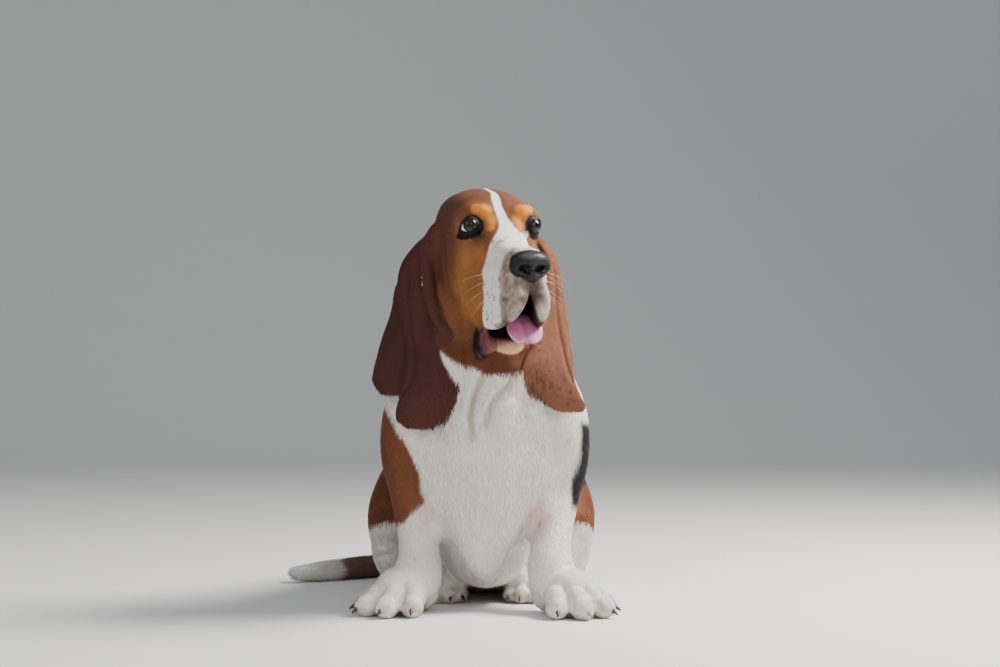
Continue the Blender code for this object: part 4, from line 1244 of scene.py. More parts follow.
class Markings:
    """The colour of the coat anywhere on the dog, as one rule for skin and tufts."""

    # The blaze: forward, left, up and half width in head axes
    BLAZE: tuple[Row, ...] = (
        (-0.02, 0.0, 0.083, 0.001), (0.006, -0.001, 0.079, 0.003), (0.0355, -0.0048, 0.07, 0.0052),
        (0.048, -0.0048, 0.0563, 0.0066), (0.0555, -0.003, 0.044, 0.0074), (0.062, 0.001, 0.034, 0.011),
        (0.069, 0.003, 0.023, 0.021), (0.078, 0.001, 0.016, 0.03), (0.092, 0.0, 0.012, 0.036),
    )
    # Rear edge of the white on the side of the muzzle: height and forward
    MUZZLE_EDGE: tuple[Row, ...] = (
        (-0.13, 0.08), (-0.09, 0.084), (-0.057, 0.0895), (-0.038, 0.087), (-0.01, 0.0735), (0.02, 0.07),
    )
    # Front edge of the shoulder patch: height and how far out from the midline
    SHOULDER_EDGE: tuple[Row, ...] = (
        (0.11, 0.12), (0.12, 0.104), (0.146, 0.076), (0.16, 0.083), (0.186, 0.0855), (0.225, 0.104),
        (0.244, 0.118), (0.29, 0.14),
    )
    # Lower edge of the brown on the haunches: how far back and height
    THIGH_EDGE: tuple[Row, ...] = (
        (0.2, 0.105), (0.23, 0.093), (0.27, 0.08), (0.31, 0.062), (0.36, 0.04),
    )
    ARMPITS: tuple[Row, ...] = ((-0.078, 0.016, 0.13), (0.072, 0.006, 0.122))
    # Creases of the chest, from the front, where shade is painted: how far out and height
    CREASES: tuple[tuple[Row, ...], ...] = (
        ((0.0032, 0.323), (-0.006, 0.3), (-0.0149, 0.279), (-0.0188, 0.253), (-0.016, 0.235)),
        ((0.042, 0.314), (0.0265, 0.293), (0.0097, 0.275), (0.002, 0.252)),
    )

    def __init__(self) -> None:
        """Prepares the blaze."""
        self.blaze = curve(self.BLAZE, 4)

    def at(self, points: np.ndarray) -> np.ndarray:
        """The colour at a set of places.

        Args:
            points: Rows in the dog's space.

        Returns:
            One row each: a linear colour, and from 0 to 1 how bare the skin is.
        """
        wave = np.stack([noise(points, 0.022, k) + 0.5 * noise(points, 0.007, k + 3) for k in range(3)], axis=1)
        bent = points + wave * 1.6 * MM
        colour = np.repeat(PALETTE.white[None], len(points), axis=0)
        colour = self.body(colour, bent, points)
        colour = self.head(colour, bent, points)
        colour = self.ears(colour, bent, points)
        colour, bare = self.bare(colour, points)
        return np.concatenate([colour, bare[:, None]], axis=1)

    @staticmethod
    def lay(colour: np.ndarray, over: np.ndarray, mask: np.ndarray) -> np.ndarray:
        """One colour laid over another where the mask is 1."""
        return colour + mask[:, None] * (over - colour)

    def body(self, colour: np.ndarray, bent: np.ndarray, points: np.ndarray) -> np.ndarray:
        """Saddle, flanks, shoulder, thighs, the root of the tail, a few spots, and painted shade in the chest's
        creases.
        """
        x, y, z = bent.T
        back = np.linalg.norm((bent - (0.012, 0.275, 0.265)) / (0.175, 0.225, 0.172), axis=1)
        tan = ramp(back, 1.12, 1.07) * ramp(y, 0.085, 0.1)
        low = np.interp(y, *np.array(self.THIGH_EDGE).T) + 0.005 * noise(points, 0.026, 12)
        thigh = ramp(z - low, -0.003, 0.003) * ramp(np.abs(x), 0.07, 0.085) * ramp(y, 0.188, 0.2)
        tan = np.maximum(tan, thigh * ramp(z, 0.23, 0.21))
        out = np.interp(z, *np.array(self.SHOULDER_EDGE).T)
        shoulder = ramp(-x - out, -0.003, 0.003) * ramp(z, 0.106, 0.112) * ramp(z, 0.33, 0.32)
        shoulder *= ramp(y, 0.19, 0.18)
        tail = ramp(x, -0.222, -0.206) * ramp(x, -0.015, -0.03) * ramp(y, 0.385, 0.395) * ramp(z, 0.075, 0.06)
        tail *= ramp(x + 0.2 * z, -0.06, -0.075) + ramp(y, 0.455, 0.47)
        tan = np.maximum.reduce([tan, shoulder, np.minimum(tail, 0.9)])
        head = moved(FROM_HEAD, bent)
        nape = ramp(z, 0.4, 0.412) * ramp(head[:, 0], 0.0, -0.02)
        tan = np.maximum(tan, nape)
        shade = 0.5 + 0.5 * noise(points, 0.05, 11)
        colour = self.lay(colour, PALETTE.patch * (0.85 + 0.3 * shade)[:, None], tan)
        start = np.where(x < 0, 0.125, 0.095)
        black = ramp(back, 1.0, 0.96) * ramp(y - start, 0.0, 0.01)
        flank = ramp(x, 0.11, 0.117) * ramp(y, 0.006, 0.018) * ramp(y, 0.13, 0.115)
        black = np.maximum(black, flank * ramp(z, 0.128, 0.142) * ramp(z, 0.256, 0.244))
        colour = self.lay(colour, PALETTE.saddle, black)
        # Painted shade: a darker brownish tone laid along each crease of the white chest
        for line in self.CREASES:
            route = np.array([(out, 0.0, up) for out, up in line])
            away, _ = path_distance(points * (1, 0, 1), route)
            colour = self.lay(colour, PALETTE.crease_shade, 0.55 * ramp(away, 0.008, 0.001) * ramp(y, 0.02, 0.0))
        flush = np.zeros(len(points))
        for centre in self.ARMPITS:
            flush = np.maximum(flush, ramp(np.linalg.norm((points - centre) / (1, 1, 1.6), axis=1), 0.026, 0.004))
        colour = self.lay(colour, PALETTE.pink, 0.5 * flush * (1 - tan))
        dust = 0.5 + 0.5 * noise(points, 0.018, 22)
        colour = self.lay(colour, PALETTE.pink * 0.9, 0.1 * dust * (1 - tan) * (1 - black))
        paw = ramp(z, 0.04, 0.01) * ramp(noise(points, 0.01, 23) + 0.5 * noise(points, 0.004, 24), -0.1, 0.6)
        paw *= ramp(y, 0.3, 0.25)
        colour = self.lay(colour, PALETTE.tick * 1.5, 0.45 * paw * (1 - tan))
        spots = ramp(noise(points, 0.009, 21), 0.86, 0.92) * (1 - tan) * ramp(z, 0.02, 0.05)
        return self.lay(colour, PALETTE.tick, spots * 0.6)

    def head(self, colour: np.ndarray, bent: np.ndarray, points: np.ndarray) -> np.ndarray:
        """Tan head, gold brows and cheeks, white blaze and muzzle with ticking, and painted shade on the muzzle's
        front and along the mouth.
        """
        h = moved(FROM_HEAD, bent)
        f, side, u = h[:, 0], np.abs(h[:, 1]), h[:, 2]
        away = np.linalg.norm((h - (0.02, 0, -0.03)) / (0.16, 0.11, 0.135), axis=1)
        height = bent[:, 2] + 0.005 * noise(points, 0.014, 33)
        floor = np.interp(np.abs(h[:, 1] - 0.006), [0.012, 0.042, 0.06], [0.298, 0.31, 0.322])
        head = ramp(away, 1.01, 0.97) * ramp(height - floor, 0.0, 0.009)
        base = np.repeat(PALETTE.tan[None], len(points), axis=0)
        base = self.lay(base, PALETTE.temple, ramp(side, 0.03, 0.056) * ramp(f, 0.045, 0.0) * ramp(u, -0.08, 0.0))
        cheek = np.linalg.norm((np.stack([f, side, u], 1) - (0.06, 0.046, -0.04)) / (0.04, 0.03, 0.06), axis=1)
        base = self.lay(base, PALETTE.cheek, ramp(cheek, 1.15, 0.6))
        for place, size in (((0.056, 0.026, 0.056), 0.015), ((0.05, 0.038, 0.058), 0.01),
                            ((0.06, 0.018, 0.044), 0.011), ((0.062, 0.021, 0.034), 0.008)):
            spot = np.linalg.norm(np.stack([f, side, u], 1) - place, axis=1)
            base = self.lay(base, PALETTE.gold, 0.9 * ramp(spot, size, size * 0.35))
        base = self.lay(base, PALETTE.throat, ramp(u, -0.105, -0.125) * ramp(f, 0.1, 0.08))
        grain = 1 + 0.1 * noise(points, 0.006, 31) + 0.1 * noise(points, 0.02, 32)
        base = base * grain[:, None]
        colour = self.lay(colour, base, head)
        profile = h * (1, 0, 1)
        near, along = path_distance(profile, self.blaze[:, :3] * (1, 0, 1))
        spread = np.linspace(0, 1, len(self.blaze))
        middle, half = (np.interp(along, spread, self.blaze[:, k]) for k in (1, 3))
        blaze = ramp(np.abs(h[:, 1] - middle) - half, 0.0012, -0.0012) * ramp(near, 0.016, 0.012)
        edge = np.interp(u, *np.array(self.MUZZLE_EDGE).T)
        muzzle = ramp(f - edge, -0.0015, 0.0015) * ramp(u, -0.112, -0.104)
        white = np.maximum(blaze, muzzle) * head
        colour = self.lay(colour, PALETTE.white, white)
        broad = noise(points, 0.012, 42)
        tick = ramp(noise(points, 0.0034, 41) + 0.5 * broad, 0.55, 0.85)
        tick *= ramp(f, 0.055, 0.075) * ramp(f, 0.15, 0.125)
        colour = self.lay(colour, PALETTE.tick, 0.75 * tick * white)
        bridge = ramp(noise(points * (1, 1, 1.6), 0.006, 43) + 0.6 * broad, 0.0, 0.5) * ramp(u, 0.0, 0.01)
        bridge *= ramp(f, 0.072, 0.084) * ramp(f, 0.128, 0.112) * ramp(h[:, 1], 0.006, -0.004)
        colour = self.lay(colour, PALETTE.tick * 0.8, 0.85 * bridge * white)
        # Brownish hair on the front of the muzzle with painted shade: stronger on the dog's right side, as if that
        # side lay in shade
        front = ramp(f + 0.004 * broad - np.interp(u, [-0.07, 0.0], [0.121, 0.111]), -0.004, 0.005)
        front *= ramp(u, 0.012, 0.004)
        mottle = 0.8 + 0.2 * noise(points, 0.005, 45)
        hair_and_shade = mottle * (0.98 - 0.4 * ramp(h[:, 1], 0.004, 0.016)) * front * white
        colour = self.lay(colour, PALETTE.muzzle_hair_and_shade, hair_and_shade)
        under = ramp(f, 0.126, 0.138) * ramp(side, 0.026, 0.008) * ramp(u, -0.068, -0.05)
        colour = self.lay(colour, PALETTE.lip_shade, 0.85 * under * white)
        # Painted shade along the edge of the mouth's opening
        edge = ramp(side, 0.033, 0.0285) * ramp(u, -0.045, -0.058) * ramp(f, 0.136, 0.128)
        colour = self.lay(colour, PALETTE.lip_shade * 0.7, 0.8 * edge * white)
        root = ramp(noise(points, 0.0022, 44), 0.62, 0.8) * ramp(f, 0.098, 0.11) * ramp(u, -0.005, -0.02)
        return self.lay(colour, PALETTE.tick * 0.7, 0.7 * root * white)

    def ears(self, colour: np.ndarray, bent: np.ndarray, points: np.ndarray) -> np.ndarray:
        """Dark ears; the left one is painted lighter, as painted light falling on it, and shows its inner face."""
        z = bent[:, 2]
        shade = noise(points, 0.03, 51) + 0.5 * noise(points, 0.009, 52)
        for lobes, left in ((Ears().right, False), (Ears().left, True)):
            for number, lobe in enumerate(lobes):
                mask, inset = lobe.cover(points)
                mask = mask * ramp(z, 0.5, 0.48)
                # Painted light: the left ear takes the lighter, lit copy of the ear tone, the right one the darker
                # tone
                base = PALETTE.ear_light if left else PALETTE.ear
                dark = (0.92 + 0.14 * shade)[:, None] * base
                if left and number == 0:
                    inner = ramp(z, 0.375, 0.345) * ramp(inset, 0.002, 0.006)
                    fleck = ramp(noise(points, 0.0045, 53) + 0.4 * shade, 0.15, 0.6)
                    face = self.lay(np.repeat(PALETTE.ear_inner[None], len(points), 0), PALETTE.ear, 0.55 * fleck)
                    dark = self.lay(dark, face, inner)
                colour = self.lay(colour, dark, mask)
        away, _ = path_distance(bent, np.array(Ears().roll)[:, :3])
        behind = ramp(away, 0.024, 0.018) * ramp(bent[:, 0], -0.074, -0.08)
        return self.lay(colour, PALETTE.ear * 1.12, np.maximum(ramp(away, 0.014, 0.01), behind))

    @staticmethod
    def slack(h: np.ndarray) -> np.ndarray:
        """Where the loose bare lip at the corners of the mouth is, in head axes, from 0 to 1."""
        total = np.zeros(len(h))
        for centre, radii in Skull().slack:
            reach = np.linalg.norm((h - centre) / (np.array(radii) + 0.002), axis=1) + 0.14 * noise(h, 0.006, 64)
            total = np.maximum(total, ramp(reach, 1.05, 0.9) * ramp(h[:, 2], -0.09, -0.097))
        return total

    def bare(self, colour: np.ndarray, points: np.ndarray) -> tuple[np.ndarray, np.ndarray]:
        """Black rims of the eyes, lips, the inside of the mouth and the chin, and how bare the skin is."""
        h = moved(FROM_HEAD, points)
        f, side, u = h[:, 0], np.abs(h[:, 1]), h[:, 2]
        chin = ramp(u, -0.108, -0.114) * ramp(f, 0.07, 0.082) * ramp(side, 0.034, 0.026) * ramp(u, -0.148, -0.14)
        colour = self.lay(colour, PALETTE.chin, chin)
        gum = ramp(u, -0.098, -0.103) * ramp(u, -0.122, -0.114) * ramp(f, 0.04, 0.055) * ramp(side, 0.036, 0.03)
        gum = gum * ramp(f, 0.098, 0.09)
        colour = self.lay(colour, PALETTE.gum, gum)
        inside = ramp(side, 0.0285, 0.0245) * ramp(u, -0.04, -0.048) * ramp(u, -0.112, -0.106)
        inside *= ramp(f, 0.132, 0.122) * ramp(f, 0.01, 0.03)
        colour = self.lay(colour, PALETTE.mouth, inside)
        slack = self.slack(h)
        streak = ramp(noise(points * (1, 1, 0.6), 0.005, 62) + 0.5 * noise(points, 0.0018, 63), -0.1, 0.5)
        streak = np.maximum(0.6 * streak, ramp(f, 0.066, 0.078)) * ramp(f, 0.05, 0.064)
        lip = self.lay(np.repeat(PALETTE.lip[None], len(points), 0), PALETTE.gum * 0.6, 0.8 * streak)
        colour = self.lay(colour, lip, slack)
        bare = np.maximum.reduce([gum, inside, slack])
        for eye in Side:
            local = moved(np.linalg.inv(EYES.place(eye)), points)
            out, up = eye.value * local[:, 1] / EYES.radius, local[:, 2] / EYES.radius
            ragged = 0.1 * noise(points, 0.003, 61)
            patch = ramp(LIDS.beyond(out, up, of_patch=True) + ragged, 0.06, -0.1) * ramp(local[:, 0], -0.006, -0.002)
            patch *= np.linalg.norm(local, axis=1) < 0.035
            colour = self.lay(colour, PALETTE.rim, patch)
            bare = np.maximum(bare, patch * ramp(np.linalg.norm(local, axis=1), 0.018, 0.0155))
        return colour, bare


class Tufts:
    """The coat: closed, pointed tufts that lie over the skin."""

    PATCH = 0.003
    SLIM = 0.66
    SHORT = 0.85
    SLOTS = {Coat.FACE: "tan", Coat.CROWN: "tan", Coat.EARS: "brown"}
    SHAPE = ((0.5, 0.0), (0.0, 0.45), (1.0, 0.45), (0.5, 0.5), (0.5, 1.0))
    FACES = ((0, 1, 3), (0, 3, 2), (0, 2, 1), (4, 3, 1), (4, 2, 3), (4, 1, 2))

    def __init__(self, skin: Skin, markings: Markings, seed: int = 7) -> None:
        """Keeps what the tufts grow on.

        Args:
            skin: The finished skin.
            markings: The rule of colours.
            seed: Chooses the random draws.
        """
        self.skin = skin
        self.markings = markings
        self.random = np.random.default_rng(seed)

    def roots(self) -> tuple[np.ndarray, np.ndarray, Lie]:
        """Places of the tufts, their normals, and the coat there."""
        web, coat_map = self.skin.web, self.skin.coat_map
        a, b, c = (web.points[web.triangles[:, k]] for k in range(3))
        area = np.linalg.norm(np.cross(b - a, c - a), axis=1) / 2
        close = coat_map.at((a + b + c) / 3).close
        share = np.cumsum(area / MM**2 * close)
        count = int(share[-1])
        spot = (np.arange(count) + self.random.random(count)) * (share[-1] / count)
        index = np.minimum(np.searchsorted(share, spot), len(area) - 1)
        u, v = self.random.random((2, count))
        over = u + v > 1
        u[over], v[over] = 1 - u[over], 1 - v[over]
        places = a[index] + u[:, None] * (b - a)[index] + v[:, None] * (c - a)[index]
        normals = web.normals()
        corners = web.triangles[index]
        blend = ((1 - u - v)[:, None] * normals[corners[:, 0]] + u[:, None] * normals[corners[:, 1]]
                 + v[:, None] * normals[corners[:, 2]])
        return places, unit(blend), coat_map.at(places)

    def bald(self, places: np.ndarray) -> np.ndarray:
        """Whether no hair grows: on the lids' edge, the lips, in the mouth and under the paws."""
        h = moved(FROM_HEAD, places)
        f, side, u = h[:, 0], np.abs(h[:, 1]), h[:, 2]
        bald = (side < 0.0275) & (u < -0.042) & (u > -0.112) & (f < 0.13) & (f > 0.01)
        bald |= Markings.slack(h) > 0.4
        bald |= np.linalg.norm((h - (0.137, 0, -0.012)) / (0.014, 0.026, 0.022), axis=1) < 1
        bald |= places[:, 2] < 1.5 * MM
        for side in Side:
            local = moved(np.linalg.inv(EYES.place(side)), places)
            away = np.linalg.norm(local, axis=1)
            toward = local / away[:, None]
            beyond = LIDS.beyond(side.value * toward[:, 1], toward[:, 2])
            bald |= (away < 0.02) & (beyond < 0.16)
        return bald

    def build(self, finish: bpy.types.Material) -> list[bpy.types.Object]:
        """Makes one mesh for each coat.

        Args:
            finish: The material of hair.

        Returns:
            The coat's objects.
        """
        places, normals, lie = self.roots()
        kept = ~self.bald(places)
        places, normals = places[kept], normals[kept]
        lie = Lie(*(getattr(lie, name)[kept] for name in Lie.__dataclass_fields__))
        count = len(places)
        colours = self.markings.at(places)
        swirl = np.stack([noise(places, 0.016, 71 + k) for k in range(3)], axis=1)
        way = lie.way / np.maximum(np.linalg.norm(lie.way, axis=1, keepdims=True), 1e-9)
        way = way + 0.22 * swirl + 0.1 * self.random.standard_normal((count, 3))
        way = unit(way - normals * (way * normals).sum(axis=1)[:, None])
        across = np.cross(normals, way)
        jitter = self.random.random((count, 4))
        length = self.SHORT * lie.length * (0.7 + 0.6 * jitter[:, 0])
        width = self.SLIM * lie.width * (0.75 + 0.5 * jitter[:, 1])
        lift = lie.lift * (0.5 + jitter[:, 2])
        middle = places + way * (0.45 * length)[:, None] + normals * (lift * length * 0.6)[:, None]
        verts = np.stack([
            places - way * (0.08 * length)[:, None] - normals * 0.0006,
            middle - across * (width / 2)[:, None],
            middle + across * (width / 2)[:, None],
            middle + normals * (0.26 * width)[:, None],
            places + way * length[:, None] + normals * (lift * length * 0.7)[:, None],
        ], axis=1)
        shade = 0.86 + 0.24 * jitter[:, 3]
        colours = np.clip(colours * shade[:, None], 0, 1)[:, :3]
        own = np.stack([normals - 0.5 * way, normals - 0.5 * across, normals + 0.5 * across, normals,
                        normals + 0.6 * way], axis=1)
        made = []
        for number, coat in enumerate(Coat):
            chosen = lie.coat == number
            if chosen.any():
                made.append(self.piece(coat, places[chosen], normals[chosen], verts[chosen], unit(own[chosen]),
                                       colours[chosen], finish))
        return made

    def unwrap(self, places: np.ndarray, normals: np.ndarray) -> np.ndarray:
        """Each root's place on the skin, seen along the nearest of six directions and laid out in a sheet.

        Args:
            places: Roots of one coat.
            normals: Their outward directions.

        Returns:
            Places in the unit square.
        """
        axis = np.abs(normals).argmax(axis=1)
        positive = normals[np.arange(len(places)), axis] > 0
        chart = axis * 2 + positive
        flat = np.empty((len(places), 2))
        for k, pair in enumerate(((1, 2), (0, 2), (0, 1))):
            flat[axis == k] = places[axis == k][:, pair]
        low = np.array([flat[chart == c].min(axis=0) if (chart == c).any() else (0, 0) for c in range(6)])
        high = np.array([flat[chart == c].max(axis=0) if (chart == c).any() else (0, 0) for c in range(6)])
        cell = np.array([1 / 3, 1 / 2]) - 0.012
        scale = (cell / np.maximum((high - low).max(axis=0), 1e-6)).min()
        corner = np.array([(c % 3 / 3, c // 3 / 2) for c in range(6)])
        return corner[chart] + 0.006 + (flat - low[chart]) * scale

    def piece(self, coat: Coat, places: np.ndarray, normals: np.ndarray, verts: np.ndarray, own: np.ndarray,
              colours: np.ndarray, finish: bpy.types.Material) -> bpy.types.Object:
        """One coat's mesh.

        Args:
            coat: Which coat.
            places: Roots.
            normals: The skin's outward directions there.
            verts: Five corners for each tuft.
            own: The direction that each corner is lit from.
            colours: One colour for each tuft.
            finish: The material of hair.

        Returns:
            The coat's object.
        """
        count = len(places)
        faces = (np.arange(count)[:, None, None] * 5 + np.array(self.FACES)).reshape(-1, 3)
        web = Web(verts.reshape(-1, 3) + SHIFT, faces)
        web.points[:, 2] = np.maximum(web.points[:, 2], 0.4 * MM)
        mesh = web.mesh(coat.value)
        set_colours(mesh, np.repeat(colours, 5, axis=0))
        sheet = self.unwrap(places, normals)[:, None] + (np.array(self.SHAPE) - 0.5) * self.PATCH
        layer = mesh.uv_layers.new(name="OFBake")
        layer.uv.foreach_set("vector", sheet.reshape(-1, 2)[faces.ravel()].astype(np.float32).ravel())
        mesh.normals_split_custom_set_from_vertices(own.reshape(-1, 3).astype(np.float32))
        made = placed(coat.value, mesh, finish)
        return made


def set_colours(mesh: bpy.types.Mesh, colours: np.ndarray) -> None:
    """Stores a colour for each point under the name tone.

    Args:
        mesh: The mesh.
        colours: Linear colours.
    """
    layer = mesh.color_attributes.new("tone", "FLOAT_COLOR", "POINT")
    rows = np.zeros((len(colours), 4), dtype=np.float32)
    rows[:, :colours.shape[1]] = colours
    layer.data.foreach_set("color", rows.ravel())


def placed(name: str, mesh: bpy.types.Mesh, finish: bpy.types.Material) -> bpy.types.Object:
    """An object with one finish, riding on the body.

    Args:
        name: The piece's name.
        mesh: Its mesh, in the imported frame.
        finish: Its material.

    Returns:
        The object.
    """
    mesh.materials.append(finish)
    piece = bpy.data.objects.new(name, mesh)
    bpy.context.scene.collection.objects.link(piece)
    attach(piece, BODY)
    return piece


class Relief(Enum):
    """The fine relief of a finish."""

    HAIR = "hair_grain"
    PEBBLES = "pebble_grain"


class Graph:
    """Short ways to add the nodes of a tree."""

    def __init__(self, tree: bpy.types.NodeTree) -> None:
        """Keeps the tree."""
        self.tree = tree

    def add(self, kind: str, settings: dict | None = None, **inputs) -> bpy.types.Node:
        """Adds a node.

        Args:
            kind: The node's type.
            settings: Its properties.
            inputs: A value or another node's output for each input, with spaces in names as underscores.

        Returns:
            The node.
        """
        node = self.tree.nodes.new(kind)
        for name, value in (settings or {}).items():
            setattr(node, name, value)
        for name, value in inputs.items():
            self.join(value, node.inputs[name.replace("_", " ")])
        return node

    def join(self, value, socket: bpy.types.NodeSocket) -> None:
        """Links an output to a socket, or sets its value."""
        if isinstance(value, bpy.types.NodeSocket):
            self.tree.links.new(value, socket)
        else:
            socket.default_value = value

    def math(self, kind: str, first, second) -> bpy.types.NodeSocket:
        """The result of a sum on two values."""
        node = self.add("ShaderNodeMath", {"operation": kind})
        self.join(first, node.inputs[0])
        self.join(second, node.inputs[1])
        return node.outputs[0]

    def group(self, tree: bpy.types.NodeTree, **inputs) -> bpy.types.Node:
        """Places a node group with its own values."""
        return self.add("ShaderNodeGroup", {"node_tree": tree}, **inputs)


class Grains:
    """Node groups for effects that several finishes share."""

    def __init__(self) -> None:
        """Builds each group once."""
        self.trees = {Relief.HAIR: self.hair(), Relief.PEBBLES: self.pebbles()}

    @staticmethod
    def start(name: str) -> tuple[bpy.types.NodeTree, Graph, bpy.types.Node, bpy.types.Node]:
        """A group with the inputs Tone, Scale and Contrast, and the outputs Tone and Height."""
        tree = bpy.data.node_groups.new(name, "ShaderNodeTree")
        for label, kind, value in (("Tone", "NodeSocketColor", (0.5, 0.5, 0.5, 1)),
                                   ("Scale", "NodeSocketFloat", 500.0), ("Contrast", "NodeSocketFloat", 0.2)):
            tree.interface.new_socket(name=label, in_out="INPUT", socket_type=kind).default_value = value
        tree.interface.new_socket(name="Tone", in_out="OUTPUT", socket_type="NodeSocketColor")
        tree.interface.new_socket(name="Height", in_out="OUTPUT", socket_type="NodeSocketFloat")
        graph = Graph(tree)
        return tree, graph, graph.add("NodeGroupInput"), graph.add("NodeGroupOutput")

    @staticmethod
    def vary(graph: Graph, tone, amount: bpy.types.NodeSocket, contrast) -> bpy.types.NodeSocket:
        """A tone made lighter and darker by an amount from 0 to 1."""
        centred = graph.math("SUBTRACT", amount, 0.5)
        scaled = graph.math("MULTIPLY", centred, contrast)
        factor = graph.math("ADD", scaled, 1.0)
        shaded = graph.add("ShaderNodeVectorMath", {"operation": "SCALE"}, Scale=factor)
        graph.join(tone, shaded.inputs[0])
        return shaded.outputs[0]

    def hair(self) -> bpy.types.NodeTree:
        """Fine uneven hair: two sizes of noise."""
        tree, graph, start, end = self.start(Relief.HAIR.value)
        place = graph.add("ShaderNodeTexCoord").outputs["Object"]
        fine = graph.add("ShaderNodeTexNoise", Vector=place, Scale=start.outputs["Scale"], Detail=3.0, Roughness=0.65)
        wide = graph.math("MULTIPLY", start.outputs["Scale"], 0.12)
        broad = graph.add("ShaderNodeTexNoise", Vector=place, Scale=wide, Detail=2.0)
        amount = graph.math("ADD", graph.math("MULTIPLY", fine.outputs["Fac"], 0.6),
                            graph.math("MULTIPLY", broad.outputs["Fac"], 0.4))
        tone = self.vary(graph, start.outputs["Tone"], amount, start.outputs["Contrast"])
        graph.join(tone, end.inputs["Tone"])
        graph.join(fine.outputs["Fac"], end.inputs["Height"])
        return tree

    def pebbles(self) -> bpy.types.NodeTree:
        """Small raised cells with creases between them."""
        tree, graph, start, end = self.start(Relief.PEBBLES.value)
        place = graph.add("ShaderNodeTexCoord").outputs["Object"]
        cells = graph.add("ShaderNodeTexVoronoi", {"feature": "DISTANCE_TO_EDGE"}, Vector=place,
                          Scale=start.outputs["Scale"], Randomness=0.9)
        wide = graph.math("MULTIPLY", start.outputs["Scale"], 0.4)
        broad = graph.add("ShaderNodeTexNoise", Vector=place, Scale=wide, Detail=2.0)
        rise = graph.add("ShaderNodeMapRange", {"interpolation_type": "SMOOTHSTEP"},
                         Value=cells.outputs["Distance"], From_Max=0.32)
        tone = self.vary(graph, start.outputs["Tone"], broad.outputs["Fac"], start.outputs["Contrast"])
        graph.join(tone, end.inputs["Tone"])
        graph.join(rise.outputs["Result"], end.inputs["Height"])
        return tree


@dataclass(frozen=True)
class Finish:
    """One material: its tone, gloss and relief. Without a tone it takes each point's own."""

    name: str
    roughness: float
    tone: Row | None = None
    wet_roughness: float | None = None
    relief: Relief = Relief.HAIR
    scale: float = 600.0
    contrast: float = 0.3
    depth: float = 0.0003
    coat: float = 0.0
    specular: float = 0.5
    sheen: float = 0.0
    subsurface: float = 0.0

    def build(self, grains: Grains) -> bpy.types.Material:
        """Makes the material.

        Args:
            grains: The shared node groups.

        Returns:
            The material.
        """
        made = bpy.data.materials.new(self.name)
        made.use_nodes = True
        graph = Graph(made.node_tree)
        shader = made.node_tree.nodes["Principled BSDF"]
        own = None
        if self.tone is None:
            own = graph.add("ShaderNodeAttribute", {"attribute_name": "tone"})
            base = own.outputs["Color"]
        else:
            base = (*tone(*self.tone).tolist(), 1.0)
        grain = graph.group(grains.trees[self.relief], Tone=base, Scale=self.scale, Contrast=self.contrast)
        graph.join(grain.outputs["Tone"], shader.inputs["Base Color"])
        bump = graph.add("ShaderNodeBump", Height=grain.outputs["Height"], Distance=self.depth, Strength=1.0)
        graph.join(bump.outputs["Normal"], shader.inputs["Normal"])
        if own is not None and self.wet_roughness is not None:
            spread = graph.math("MULTIPLY", own.outputs["Alpha"], self.wet_roughness - self.roughness)
            graph.join(graph.math("ADD", spread, self.roughness), shader.inputs["Roughness"])
        else:
            shader.inputs["Roughness"].default_value = self.roughness
        shader.inputs["Coat Weight"].default_value = self.coat
        shader.inputs["Coat Roughness"].default_value = 0.06
        shader.inputs["Specular IOR Level"].default_value = self.specular
        shader.inputs["Sheen Weight"].default_value = self.sheen
        shader.inputs["Subsurface Weight"].default_value = self.subsurface
        shader.inputs["Subsurface Radius"].default_value = (0.004, 0.0015, 0.001)
        shader.inputs["Subsurface Scale"].default_value = 1.0
        return made


class Finishes:
    """Every material of the dog."""

    def __init__(self) -> None:
        """Builds the materials."""
        grains = Grains()
        self.skin = Finish("skin", 0.82, wet_roughness=0.34, scale=1400, contrast=0.5, depth=0.0004,
                           specular=0.16).build(grains)
        self.hair = Finish("hair", 0.66, scale=900, contrast=0.35, depth=0.0001, specular=0.22,
                           sheen=0.05).build(grains)
        self.eye = Finish("eye", 0.12, scale=1500, contrast=0.3, depth=0.00002, coat=0.5, specular=0.08).build(grains)
        self.rim = Finish("lid_rim", 0.34, tone=(16, 11, 13), scale=1800, depth=0.0001, coat=0.12,
                          specular=0.15).build(grains)
        self.nose = Finish("nose_leather", 0.4, scale=900, relief=Relief.PEBBLES, contrast=0.3, depth=0.00018,
                           coat=0.14, specular=0.24).build(grains)
        self.tongue = Finish("tongue_skin", 0.42, scale=1100, relief=Relief.PEBBLES, contrast=0.25, depth=0.0001,
                             coat=0.35, subsurface=0.2).build(grains)
        self.claw = Finish("claw_horn", 0.38, scale=500, contrast=0.5, depth=0.0001, coat=0.2).build(grains)
        self.whisker = Finish("whisker", 0.45, tone=(236, 228, 214), scale=700, contrast=0.2,
                              depth=0.00003).build(grains)
        self.floor = Finish("floor_paint", 0.75, tone=(222, 221, 219), scale=60, contrast=0.03,
                            depth=0.0002).build(grains)


